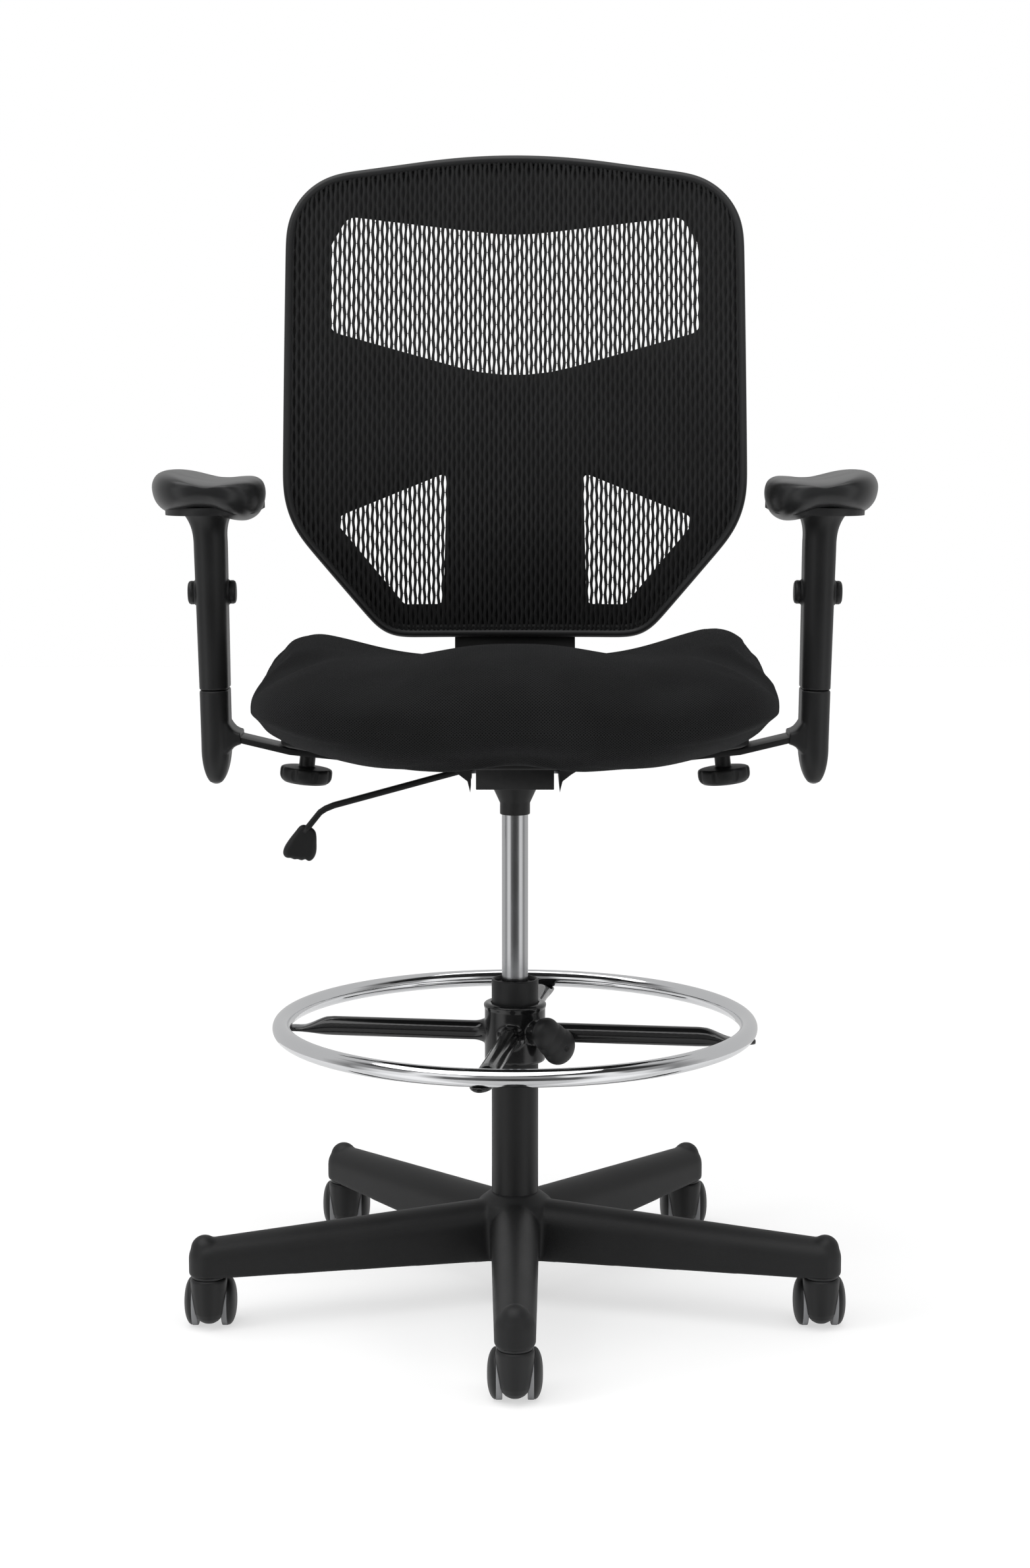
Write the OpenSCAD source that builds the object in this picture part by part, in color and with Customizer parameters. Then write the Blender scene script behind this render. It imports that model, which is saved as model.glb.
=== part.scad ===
// Drafting chair: five-star base, long gas column, foot ring, tilting seat,
// height-adjustable mesh back and two adjustable arms.
// Millimetres, +Z up, the sitter faces -Y. The origin is on the floor under the column.

/* [Base and casters] */
// Distance from the column to each caster's swivel
base_r = 338; // [280:1:410]
// Width of a leg over its caster
leg_end_w = 41; // [36:0.5:50]
// Width of a leg at the hub
leg_hub_w = 51; // [44:0.5:64]
// Height of a leg over its caster
leg_end_h = 39; // [33:0.5:48]
// Height of the hub above the caster sockets
hub_h = 62; // [52:0.5:75]
// Diameter of the hub's upper rim
hub_d = 63; // [58:0.5:78]
// Diameter of a caster wheel
wheel_d = 52; // [44:0.5:64]
// Width of one caster wheel
wheel_w = 15; // [12:0.5:18]
// Width over the two wheels of a caster
caster_w = 55; // [50:0.5:66]
// Distance from the swivel to the wheel axle
caster_trail = 20; // [16:0.5:24]
// Diameter of the caster's hood
hood_d = 37; // [32:0.5:41]
// Diameter of the caster's stem
stem_d = 11; // [10:0.5:12]
// Diameter of the caster's axle
axle_d = 6; // [5:0.5:8]

/* [Column] */
// Diameter of the outer column
column_d = 50; // [45:0.5:56]
// Wall of the outer column
column_wall = 3; // [2:0.5:4]
// Length of column above the hub
column_show = 233; // [200:1:290]
// Diameter of the chromed tube
rod_d = 28; // [24:0.5:34]
// Length of chromed tube that shows
rod_show = 178; // [165:1:215]
// How far the seat can sink from here
lift_down = 140; // [110:1:150]
// How far the seat can rise from here
lift_up = 100; // [80:1:110]

/* [Foot ring] */
// Diameter of the ring along its tube's centre line
ring_d = 500; // [430:1:600]
// Diameter of the ring's tube
ring_tube_d = 18.8; // [16:0.2:23]
// Diameter of a spoke
spoke_d = 21; // [17:0.5:25]
// Outer diameter of the collar
collar_d = 67; // [61:0.5:80]
// Height of the collar
collar_h = 64; // [54:0.5:76]
// Distance from the column's top down to the collar's top
collar_drop = 25; // [21:0.5:60]
// How far the ring is turned on the column
ring_turn = -8; // [-45:1:45]

/* [Mechanism] */
// Width of the mechanism's box
box_w = 81; // [68:0.5:90]
// Height of the box at its front
box_h = 29; // [25:0.5:34]
// How far the seat can tilt back, in degrees
tilt_angle = 12; // [4:1:12]
// Distance from the column forward to the tilt pin
pin_ahead = 30; // [25:0.5:36]
// Diameter of the tilt pin
pin_d = 10; // [8:0.5:12]
// Thickness of the pressed steel
steel_t = 3; // [2:0.5:4]
// Width of the seat plate
plate_w = 200; // [168:1:240]
// Length of the seat plate
plate_l = 210; // [190:1:250]
// Diameter of the height lever's rod
lever_d = 9; // [7:0.5:11]

/* [Seat] */
// Width of the cushion
seat_w = 565; // [530:1:575]
// Depth of the cushion from front to back
seat_l = 445; // [400:1:460]
// Thickness of the cushion at its edge
seat_t = 121; // [100:1:146]
// Distance from the column back to the cushion's rear edge
seat_rear = 185; // [170:1:186]
// Width of the seat pan
pan_w = 500; // [480:1:510]
// Depth of the seat pan
pan_l = 370; // [320:1:376]
// Thickness of the seat pan
pan_t = 12; // [9:0.5:16]

/* [Arms] */
// Distance from the middle of the seat to an arm
arm_x = 321; // [316:1:360]
// Distance from the column back to the arms
arm_y = 45; // [40:1:60]
// Outward lean of the arms, in degrees
arm_lean = 1; // [0:0.5:3]
// Width of an arm's upright
arm_w = 35; // [31:0.5:40]
// Depth of an arm's upright
arm_l = 58; // [54:0.5:70]
// Height of the sleeve from the split line to the flare
sleeve_h = 169; // [140:1:203]
// Length of the socket below the split line
socket_h = 103; // [90:1:124]
// Diameter of a push button
button_d = 24; // [20:0.5:28]
// Distance from the middle of the seat to a width knob
knob_x = 222; // [200:1:226]
// Diameter of a width knob
knob_d = 56; // [46:0.5:60]
// Slope of the arm bars over the knobs, in degrees
bar_slope = 6; // [3:0.5:7]
// Width of an arm bar
bar_w = 46; // [38:0.5:48]
// Thickness of an arm bar
bar_t = 6; // [5:0.5:7]
// Width of an arm pad
pad_w = 116; // [96:1:128]
// Length of an arm pad
pad_l = 245; // [205:1:250]
// Thickness of an arm pad
pad_t = 40; // [36:1:56]

/* [Back] */
// Width of the back
back_w = 510; // [430:1:510]
// Height of the back from its lower edge to its crown
back_h = 533; // [480:1:640]
// Height of the back's lower edge above the seat pan's underside
back_rise = 101; // [98:1:125]
// Radius of the back's sideways curve
back_curve = 1000; // [850:10:1600]
// Width of the back's edge frame
frame_w = 10; // [8:0.5:13]
// Depth of the back's edge frame
frame_t = 20; // [18:0.5:24]
// Thickness of the stretched mesh
mesh_t = 1.5; // [1:0.1:2]
// Thickness of the rear shell
shell_t = 4; // [3:0.5:5]
// Width of the back's upright
upright_w = 135; // [112:1:140]
// Thickness of the back's upright
upright_t = 8; // [6:0.5:10]
// Length of the upright's straight part
upright_l = 250; // [235:1:300]
// Backward lean of the upright, in degrees
upright_lean = 5; // [3:0.5:6]

/* [Hidden] */
LEGS = 5;
$fn = 96;
SMOOTH = 32;
COARSE = 20;
EPS = 0.01;

// Clearances: round running fits, flat sliding fits and visible gaps
fit_gap = 0.05;
slide_gap = 0.3;
free_gap = 0.8;

// Heights, each worked out from the one below it
socket_z = wheel_d + 8;
hub_z = socket_z + hub_h;
column_top_z = hub_z + column_show;
collar_top_z = column_top_z - collar_drop;
ring_z = collar_top_z - 25;
cone_z = column_top_z + rod_show;
box_z = cone_z + 36;
pin_z = box_z + 16;
plate_z = box_z + box_h + 2;
pan_z = plate_z + steel_t;
back_z = pan_z + back_rise;

// Column
column_foot_z = socket_z + 4;
column_floor_t = 4;
column_bore_d = column_d - 2 * column_wall;
bush_l = 85;
bush_recess = 4;
piston_d = 10;
bearing_h = 7;
bearing_d = 28;
shoulder_z = column_foot_z + column_floor_t + bearing_h;
shoulder_h = 4;
gas_wall = 3;
gland_h = 14;
gas_z = shoulder_z + shoulder_h + lift_down + 6;
gas_top_z = box_z + 16;
piston_head_z = gas_z + lift_up + gland_h + 6;
piston_head_h = 18;

// Caster
stem_up = 26;
stem_down = 24;
washer_h = 2.5;
hood_top_z = socket_z - washer_h - 0.3;
wheel_crown = 9;
tyre_w = wheel_w - wheel_crown;
wheel_inner_x = caster_w / 2 - wheel_w;
wheel_gap = 0.6;

// Seat
cushion_r = seat_t / 2;
seat_front = seat_l - seat_rear;
bar_top_gap = slide_gap;

// Arm, with heights counted from the split line between socket and sleeve
split_z = pan_z + 59;
bar_z = pan_z - 9;
boss_h = -52;
bar_bend = 18;
button_h = 103;
neck_h = 22;
neck_top = sleeve_h + neck_h;
pad_plate_t = 8;
pad_shift = -11;
pad_forward = 42.5;
post_w = arm_w - 12;
post_l = arm_l - 14;
post_wall = 3;
post_foot = -30;
post_top = sleeve_h - 9;
button_travel = 3;
button_seat = post_w / 2 + fit_gap + 3.4;
button_out = arm_w / 2 + 8;
arm_out = 40;
arm_in = 10;

// Back
upright_r = 45;
upright_rear = 165;
upright_z = plate_z - upright_t / 2;
upright_foot_y = upright_rear + upright_r * cos(upright_lean);
upright_foot_z = upright_z + upright_r - upright_r * sin(upright_lean);
lumbar_y = 172;
spine_wall = 4;
spine_foot = 75;
mesh_depth = 2;
shell_depth = 14;

// ---- shared shapes ----

function unit(v) = v / norm(v);
function left_of(v) = [-v.y, v.x];

// The closed outline of a strip of thickness t along a path
function strip(path, t) =
    let (
        last = len(path) - 1,
        edge = [for (i = [0:last])
            let (
                into = unit(path[max(i, 1)] - path[max(i, 1) - 1]),
                out = unit(path[min(i, last - 1) + 1] - path[min(i, last - 1)]),
                mitre = unit(left_of(into) + left_of(out))
            )
            mitre * t / 2 / (mitre * left_of(into))]
    )
    concat([for (i = [0:last]) path[i] + edge[i]], [for (i = [last:-1:0]) path[i] - edge[i]]);

// Points round one corner b between a and c, where b is [x, y, radius]
function corner(a, b, c, steps) =
    let (
        p = [b.x, b.y],
        u = unit([a.x, a.y] - p),
        v = unit([c.x, c.y] - p),
        half = acos(u * v) / 2,
        middle = p + unit(u + v) * b.z / sin(half),
        first = p + u * b.z / tan(half) - middle,
        last = p + v * b.z / tan(half) - middle,
        start = atan2(first.y, first.x),
        turn = atan2(last.y, last.x) - start,
        sweep = turn > 180 ? turn - 360 : turn < -180 ? turn + 360 : turn
    )
    [for (i = [0:steps]) middle + b.z * [cos(start + sweep * i / steps), sin(start + sweep * i / steps)]];

// An outline whose corners [x, y, radius] are rounded
function rounded(points, steps = 5) =
    let (n = len(points))
    [for (i = [0:n - 1]) each corner(points[(i + n - 1) % n], points[i], points[(i + 1) % n], steps)];

module pipe(d, bore, h) {
    difference() {
        cylinder(d = d, h = h);
        translate([0, 0, -EPS]) cylinder(d = bore, h = h + 2 * EPS);
    }
}

// A bar with half-round front and rear
module stadium(w, l, h) {
    translate([-w / 2, -(l - w) / 2, 0]) cube([w, l - w, h]);
    for (s = [-1, 1]) translate([0, s * (l - w) / 2, 0]) cylinder(d = w, h = h);
}

// Draws an outline of [y, z] points as a slab that runs w across the chair
module across(w) {
    rotate([90, 0, 90]) translate([0, 0, -w / 2]) linear_extrude(w) children();
}

// Draws an outline of [x, z] points as a slab that runs l from front to rear
module along(l) {
    translate([0, l / 2, 0]) rotate([90, 0, 0]) linear_extrude(l) children();
}

module on_side(side) {
    mirror([side < 0 ? 1 : 0, 0, 0]) children();
}

// ---- base and column ----

module leg_body() {
    hull() {
        translate([base_r, 0, socket_z]) cylinder(d = leg_end_w, h = leg_end_h - leg_end_w / 2, $fn = COARSE);
        translate([base_r, 0, socket_z + leg_end_h - leg_end_w / 2]) sphere(d = leg_end_w, $fn = COARSE);
        translate([column_d / 2, 0, socket_z + 6])
            cylinder(d = leg_hub_w, h = hub_h - 12 - leg_hub_w / 2, $fn = COARSE);
        translate([column_d / 2, 0, hub_z - 6 - leg_hub_w / 2]) sphere(d = leg_hub_w, $fn = COARSE);
    }
}

// The hollow under a leg, in two bays with a rib between them
module leg_hollow() {
    wall = 4.5;
    near = hub_d / 2 + 20;
    far = base_r - leg_end_w / 2 - 8;
    middle = (near + far) / 2;
    near_w = leg_hub_w / 2 - wall - 3;
    far_w = leg_end_w / 2 - wall;
    middle_w = (near_w + far_w) / 2;
    for (bay = [[near, middle - 2, near_w, middle_w], [middle + 2, far, middle_w, far_w]])
        translate([0, 0, socket_z - 1]) linear_extrude(21)
            polygon([[bay[0], -bay[2]], [bay[1], -bay[3]], [bay[1], bay[3]], [bay[0], bay[2]]]);
}

module base_star() {
    rim = 6;
    color("#26272a") difference() {
        union() {
            for (i = [0:LEGS - 1]) rotate([0, 0, i * 360 / LEGS - 90]) leg_body();
            rotate_extrude() polygon([[0, socket_z + 2], [46, socket_z + 2], [47, socket_z + 20], [42, hub_z - 15],
                [hub_d / 2 + 2, hub_z - rim], [hub_d / 2, hub_z - 1], [hub_d / 2 - 1, hub_z], [0, hub_z]]);
        }
        cylinder(d = column_d, h = hub_z + 1);
        for (i = [0:LEGS - 1]) rotate([0, 0, i * 360 / LEGS - 90]) {
            leg_hollow();
            translate([base_r, 0, 0]) cylinder(d = stem_d, h = socket_z + stem_up);
        }
    }
}

module caster_stems() {
    color("#3a3b3d") for (i = [0:LEGS - 1]) rotate([0, 0, i * 360 / LEGS - 90]) translate([base_r, 0, 0]) {
        translate([0, 0, hood_top_z - stem_down]) cylinder(d = stem_d, h = socket_z + stem_up - hood_top_z + stem_down);
        translate([0, 0, socket_z - washer_h]) cylinder(d = hood_d - 3, h = washer_h);
    }
}

module column_tube() {
    color("#1d1e20") difference() {
        translate([0, 0, column_foot_z]) cylinder(d = column_d, h = column_top_z - column_foot_z);
        translate([0, 0, column_foot_z + column_floor_t]) cylinder(d = column_bore_d, h = column_top_z);
        cylinder(d = piston_d + 2 * fit_gap, h = column_foot_z + column_floor_t + 1);
    }
}

module column_bush() {
    color("#101113") translate([0, 0, column_top_z - bush_recess - bush_l])
        pipe(column_bore_d, rod_d + 2 * fit_gap, bush_l);
}

module thrust_bearing() {
    color("#8f9398") translate([0, 0, column_foot_z + column_floor_t])
        pipe(bearing_d, piston_d + 2 * fit_gap, bearing_h);
}

module piston_rod() {
    tail = 8;
    groove = 1.2;
    head_d = rod_d - 2 * gas_wall - 2 * fit_gap;
    color("#b9bcc0") rotate_extrude() polygon([
        [0, column_foot_z - tail], [piston_d / 2 - 1, column_foot_z - tail],
        [piston_d / 2, column_foot_z - tail + 1], [piston_d / 2, column_foot_z - 2 * groove],
        [piston_d / 2 - 1, column_foot_z - 2 * groove], [piston_d / 2 - 1, column_foot_z - groove],
        [piston_d / 2, column_foot_z - groove], [piston_d / 2, shoulder_z + slide_gap / 3],
        [piston_d, shoulder_z + slide_gap / 3], [piston_d, shoulder_z + shoulder_h],
        [piston_d / 2, shoulder_z + shoulder_h], [piston_d / 2, piston_head_z],
        [head_d / 2, piston_head_z], [head_d / 2, piston_head_z + piston_head_h],
        [0, piston_head_z + piston_head_h]]);
}

module gas_tube() {
    color("#c9ccd0") difference() {
        translate([0, 0, gas_z]) cylinder(d = rod_d, h = gas_top_z - gas_z);
        translate([0, 0, gas_z + gland_h]) cylinder(d = rod_d - 2 * gas_wall, h = gas_top_z - gas_z - gland_h - 12);
        cylinder(d = piston_d + 2 * fit_gap, h = gas_z + gland_h + 1);
    }
}

// ---- casters ----

module at_caster(n) {
    angle = (n - 1) * 360 / LEGS - 90;
    translate([base_r * cos(angle), base_r * sin(angle), 0]) children();
}

module at_axle(n) {
    at_caster(n) translate([0, caster_trail, wheel_d / 2]) children();
}

// The bell-shaped hood over the wheels, with a web between them
module caster_hood(n) {
    neck_z = 26;
    web_w = 2 * (wheel_inner_x - wheel_gap);
    rear = caster_trail + wheel_d / 2 - 6;
    color("#222326") difference() {
        at_caster(n) difference() {
            union() {
                translate([0, 0, neck_z]) cylinder(d = hood_d, h = hood_top_z - neck_z);
                translate([0, 0, neck_z]) sphere(d = hood_d);
                translate([0, caster_trail, wheel_d / 2]) rotate([0, 90, 0])
                    translate([0, 0, -web_w / 2]) cylinder(d = wheel_d - 9, h = web_w);
                translate([-web_w / 2, 0, wheel_d / 2]) cube([web_w, rear - 4, wheel_d / 2 + 2]);
            }
            for (s = [-1, 1]) translate([s * (web_w / 2 + 20), caster_trail, wheel_d / 2]) rotate([0, 90, 0])
                translate([0, 0, -20]) cylinder(d = wheel_d + 2 * wheel_gap, h = 40);
            translate([0, 0, hood_top_z - stem_down]) cylinder(d = stem_d + 2 * fit_gap, h = stem_down + 1);
            translate([-hood_d, -hood_d, -EPS]) cube([2 * hood_d, 4 * hood_d, 6]);
        }
        at_axle(n) rotate([0, 90, 0]) translate([0, 0, -hood_d]) cylinder(d = axle_d, h = 2 * hood_d);
    }
}

module caster_axle(n) {
    inset = 3.5;
    color("#9a9da1") at_axle(n) rotate([0, 90, 0])
        translate([0, 0, -caster_w / 2 + inset]) cylinder(d = axle_d, h = caster_w - 2 * inset);
}

// A wheel with a crowned outer face and a dished inner face
module caster_wheel(n, side) {
    hub = axle_d / 2 + fit_gap;
    r = wheel_d / 2;
    dish_r = r - 5;
    color("#2b2c2f") at_axle(n) on_side(side) rotate([0, 90, 0]) difference() {
        rotate_extrude() polygon(concat(
            [[0, wheel_inner_x], [r - 1, wheel_inner_x], [r, wheel_inner_x + 1]],
            [for (a = [0:10:80]) [r * cos(a * 0.92), wheel_inner_x + tyre_w + wheel_crown * sin(a * 1.125)]],
            [[0, wheel_inner_x + tyre_w + wheel_crown]]));
        translate([0, 0, wheel_inner_x - EPS]) difference() {
            cylinder(r = dish_r, h = tyre_w - 1);
            cylinder(d = axle_d + 8, h = tyre_w);
        }
        cylinder(r = hub, h = caster_w / 2 - 2.5);
    }
}

// ---- foot ring ----

module footring() {
    color("#d5d8dc") translate([0, 0, ring_z]) rotate_extrude($fn = 144)
        translate([ring_d / 2, 0]) circle(d = ring_tube_d, $fn = 48);
}

// One spoke with its flattened end tucked under the ring
module spoke() {
    start = column_d / 2 + 4;
    round_end = ring_d / 2 - 40;
    tab_t = 5;
    tab_end = ring_d / 2 + 8;
    tab_z = -ring_tube_d / 2 - tab_t + 0.6;
    spoke_z = -spoke_d / 2 + 3;
    translate([start, 0, spoke_z]) rotate([0, 90, 0]) cylinder(d = spoke_d, h = round_end - start);
    translate([start, 0, spoke_z]) rotate([0, 90, 0])
        cylinder(d1 = spoke_d + 12, d2 = spoke_d - 2, h = collar_d / 2 - start + 9);
    hull() {
        translate([round_end - 6, 0, spoke_z]) rotate([0, 90, 0]) cylinder(d = spoke_d + 2, h = 3, $fn = SMOOTH);
        translate([tab_end - 28, 0, tab_z]) cylinder(d = spoke_d, h = tab_t, $fn = SMOOTH);
        translate([tab_end - 7, 0, tab_z]) cylinder(d = 14, h = tab_t, $fn = SMOOTH);
    }
}

module at_knob() {
    knob_turn = -50;
    translate([0, 0, ring_z - 4]) rotate([0, 0, knob_turn]) rotate([0, 90, 0]) children();
}

module footring_collar() {
    lip_h = 5;
    boss_d = 24;
    boss_start = column_d / 2 + 4;
    boss_end = 44;
    foot = collar_top_z - collar_h;
    bore = column_d / 2 + fit_gap;
    color("#141517") difference() {
        union() {
            rotate_extrude() polygon([[bore, foot], [collar_d / 2 - 1, foot], [collar_d / 2 - 1, collar_top_z - lip_h],
                [collar_d / 2, collar_top_z - lip_h], [collar_d / 2, collar_top_z - 1.5],
                [collar_d / 2 - 2.5, collar_top_z], [bore, collar_top_z]]);
            for (i = [0:3]) translate([0, 0, ring_z]) rotate([0, 0, ring_turn - 90 + 90 * i]) spoke();
            at_knob() translate([0, 0, boss_start]) cylinder(d = boss_d, h = boss_end - boss_start);
        }
        at_knob() cylinder(d = 8 + 2 * fit_gap, h = boss_end + 1);
    }
}

// The clamp knob: a threaded stud with a two-lobed paddle
module footring_knob() {
    stud_start = column_d / 2 + 0.6;
    face = 45;
    color("#1b1c1f") at_knob() {
        translate([0, 0, stud_start]) cylinder(d = 8, h = face - stud_start + 2);
        translate([0, 0, face]) cylinder(d1 = 24, d2 = 30, h = 8);
        difference() {
            hull() {
                translate([0, 0, face + 12]) sphere(d = 30, $fn = SMOOTH);
                for (lobe = [-8, 8]) translate([lobe, 11, face + 13]) scale([1, 1, 0.75]) sphere(d = 28, $fn = SMOOTH);
            }
            translate([0, 0, face - 20]) cylinder(d = 80, h = 20);
        }
    }
}

// ---- mechanism ----

module mechanism_housing() {
    front = 75;
    rear = 60;
    wall = steel_t;
    top = box_z + box_h;
    slope = tan(tilt_angle + 1);
    lever_window = [wall + 2, lever_d + 6, 18];
    side_shape = [[-front, box_z], [rear, box_z], [rear, top - (rear + pin_ahead) * slope],
        [-pin_ahead, top], [-front, top]];
    color("#191a1c") difference() {
        union() {
            difference() {
                across(box_w) polygon(side_shape);
                translate([-box_w / 2 + wall, -front + wall, box_z + wall]) cube([box_w - 2 * wall, front + rear - 2 * wall, 60]);
            }
            translate([0, 0, cone_z]) cylinder(d = rod_d + 4, h = 13);
            translate([0, 0, cone_z + 12]) cylinder(d1 = rod_d + 4, d2 = rod_d + 27, h = box_z - cone_z - 11);
            translate([0, 0, box_z]) cylinder(d = rod_d + 10, h = 14);
            for (s = [-1, 1]) translate([s * (box_w / 2 - wall - 4), -pin_ahead, pin_z]) rotate([0, 90, 0])
                translate([0, 0, -4]) cylinder(d = pin_d + 8, h = 8);
        }
        translate([0, 0, cone_z - 1]) cylinder(d = rod_d, h = gas_top_z - cone_z + 2);
        translate([0, -pin_ahead, pin_z]) rotate([0, 90, 0]) translate([0, 0, -box_w]) cylinder(d = pin_d, h = 2 * box_w);
        translate([-box_w / 2 - 1, -lever_window.y / 2, lever_pivot.y - lever_window.z / 2]) cube(lever_window);
    }
}

module tilt_pin() {
    color("#8f9398") translate([0, -pin_ahead, pin_z]) rotate([0, 90, 0])
        translate([0, 0, -box_w / 2 - 12]) cylinder(d = pin_d, h = box_w + 24);
}

lever_y = 0;
lever_pivot = [-box_w / 2 - 2, box_z + 14];
lever_bend = lever_pivot + [-161, -44];
lever_tip = lever_bend + [-16, -20];

// Places children at a point of the lever's path, with their Z axis pointing to another
module at_lever(a, b) {
    translate([a.x, lever_y, a.y]) rotate([0, 90 - atan2(b.y - a.y, b.x - a.x), 0]) children();
}

module rod_between(a, b, d) {
    at_lever(a, b) cylinder(d = d, h = norm(b - a));
}

// The lever's rod on its cross pin; the inner end lies over the gas tube's release
module height_lever() {
    inner = [-box_w / 2 + 12, lever_pivot.y];
    color("#2a2b2e") {
        rod_between(lever_pivot, lever_bend, lever_d);
        rod_between(lever_bend, lever_tip + 0.3 * (lever_tip - lever_bend), lever_d);
        rod_between(inner, lever_pivot, lever_d);
        at_lever(lever_pivot, lever_bend) rotate([90, 0, 0]) cylinder(d = lever_d + 3, h = lever_d + 2, center = true);
        at_lever(lever_bend, lever_pivot) sphere(d = lever_d + 0.8);
    }
}

// The lever's flared, scalloped grip
module height_lever_knob() {
    grip_l = 37;
    grip_top = 12;
    grip_w = 38;
    depth = 17;
    lean = 16;
    color("#1a1b1d") translate([lever_tip.x, lever_y, lever_tip.y]) rotate([0, lean, 0]) difference() {
        intersection() {
            along(depth) polygon(rounded([[-grip_top / 2 - 2, 2, 3], [grip_top / 2 + 2, 0, 3], [grip_w / 2 - 3, -grip_l + 12, 8],
                [grip_w / 2 - 8, -grip_l, 4], [-grip_w / 2, -grip_l - 2, 4], [-grip_w / 2 - 1, -grip_l + 10, 6]]));
            across(2 * grip_w) polygon([[-5, 5], [5, 5], [depth / 2, -grip_l / 2], [depth / 2, -grip_l - 5],
                [-depth / 2, -grip_l - 5], [-depth / 2, -grip_l / 2]]);
        }
        for (i = [-1:1]) translate([i * 11 - 2, 0, -grip_l - 4.5]) rotate([90, 0, 0])
            translate([0, 0, -depth]) cylinder(d = 8, h = 2 * depth);
        translate([0, 0, 0]) rotate([0, 38.7 - lean + 180, 0]) translate([0, 0, -12]) cylinder(d = lever_d, h = 20);
    }
}

// ---- seat ----

// The channel that carries the seat: a flat plate with flared side flanges
module seat_plate() {
    flange_x = box_w / 2 + free_gap + 5;
    flange_l = 130;
    foot_z = box_z - 3;
    color("#17181a") difference() {
        union() {
            translate([-plate_w / 2, -plate_l / 2, plate_z]) cube([plate_w, plate_l, steel_t]);
            for (s = [-1, 1]) on_side(s) translate([0, -12, 0]) along(flange_l) polygon([[flange_x, foot_z],
                [flange_x + steel_t, foot_z + 12], [flange_x + 12, foot_z + 19], [flange_x + 36, plate_z],
                [flange_x, plate_z]]);
        }
        translate([0, -pin_ahead, pin_z]) rotate([0, 90, 0])
            translate([0, 0, -box_w]) cylinder(d = pin_d + 2 * fit_gap, h = 2 * box_w);
        translate([-box_w - 40, -20, foot_z - 1]) cube([box_w / 2 + 40, 40, plate_z - foot_z - 1]);
    }
}

module seat_screws() {
    head_h = 4;
    color("#8f9398") for (x = [-1, 1], y = [-1, 1])
        translate([x * (plate_w / 2 - 10), y * (plate_l / 2 - 14), plate_z - head_h]) {
            cylinder(d = 13, h = head_h);
            cylinder(d = 6, h = head_h + steel_t + 9);
        }
}

function pan_outline(margin) = let (x = pan_w / 2 + margin, rear = seat_rear - 34 + margin, front = rear - pan_l - 2 * margin)
    rounded([[x, rear, 60], [-x, rear, 60], [-x, front, 70], [x, front, 70]]);

// Places children in the sloping frame of one arm bar, at its knob
module at_bar(side) {
    on_side(side) translate([knob_x, arm_y, bar_z]) rotate([0, -bar_slope, 0]) children();
}

// A moulded tray with a sloping pad over each arm bar and room for the fixing screws
module seat_pan() {
    pad = bar_w + 10;
    pad_inner = 48;
    pad_outer = bar_bend - arm_in - 1;
    color("#1f2022") difference() {
        union() {
            translate([0, 0, pan_z]) linear_extrude(pan_t) polygon(pan_outline(0));
            for (s = [-1, 1]) intersection() {
                at_bar(s) translate([-pad_inner, -pad / 2, bar_t / 2 + bar_top_gap]) cube([pad_inner + pad_outer, pad, 30]);
                translate([0, 0, pan_z - 20]) linear_extrude(25) polygon(pan_outline(0));
            }
        }
        for (s = [-1, 1]) at_bar(s) cylinder(d = 8.4 + 2 * fit_gap, h = 14);
        for (x = [-1, 1], y = [-1, 1]) translate([x * (plate_w / 2 - 10), y * (plate_l / 2 - 14), 0])
            cylinder(d = 6, h = pan_z + 9.5);
    }
}

// The upholstered cushion, wrapped over the pan's edge
module seat_cushion() {
    x = seat_w / 2 - cushion_r;
    color("#101012") difference() {
        hull() for (sx = [-x, x], y = [seat_rear - cushion_r, cushion_r - seat_front])
            translate([sx, y, pan_z + cushion_r]) sphere(r = cushion_r, $fn = SMOOTH);
        translate([0, 0, pan_z - 1]) linear_extrude(pan_t + 1) polygon(pan_outline(0));
        for (s = [-1, 1]) at_bar(s) translate([20, -bar_w / 2 - 4, -10]) cube([80, bar_w + 8, 21]);
    }
}

// ---- arms ----

module at_arm(side) {
    on_side(side) translate([arm_x, arm_y, split_z]) rotate([0, arm_lean, 0]) children();
}

bar_path = [[knob_x - 92 * cos(bar_slope), bar_z - 92 * sin(bar_slope)],
    [knob_x + bar_bend * cos(bar_slope), bar_z + bar_bend * sin(bar_slope)],
    [arm_x - 14, split_z + boss_h + 2]];

// A flat steel bar with a slot that lets it slide past its knob
module arm_bar(side) {
    color("#1a1b1d") difference() {
        on_side(side) translate([0, arm_y, 0]) along(bar_w) polygon(strip(bar_path, bar_t));
        at_bar(side) for (x = [-arm_out - 6:4:arm_in + 6]) translate([x, 0, -bar_t]) cylinder(d = 10, h = 2 * bar_t);
        at_bar(side) translate([-arm_out - 6, -5, -bar_t]) cube([arm_out + arm_in + 12, 10, 2 * bar_t]);
    }
}

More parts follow.
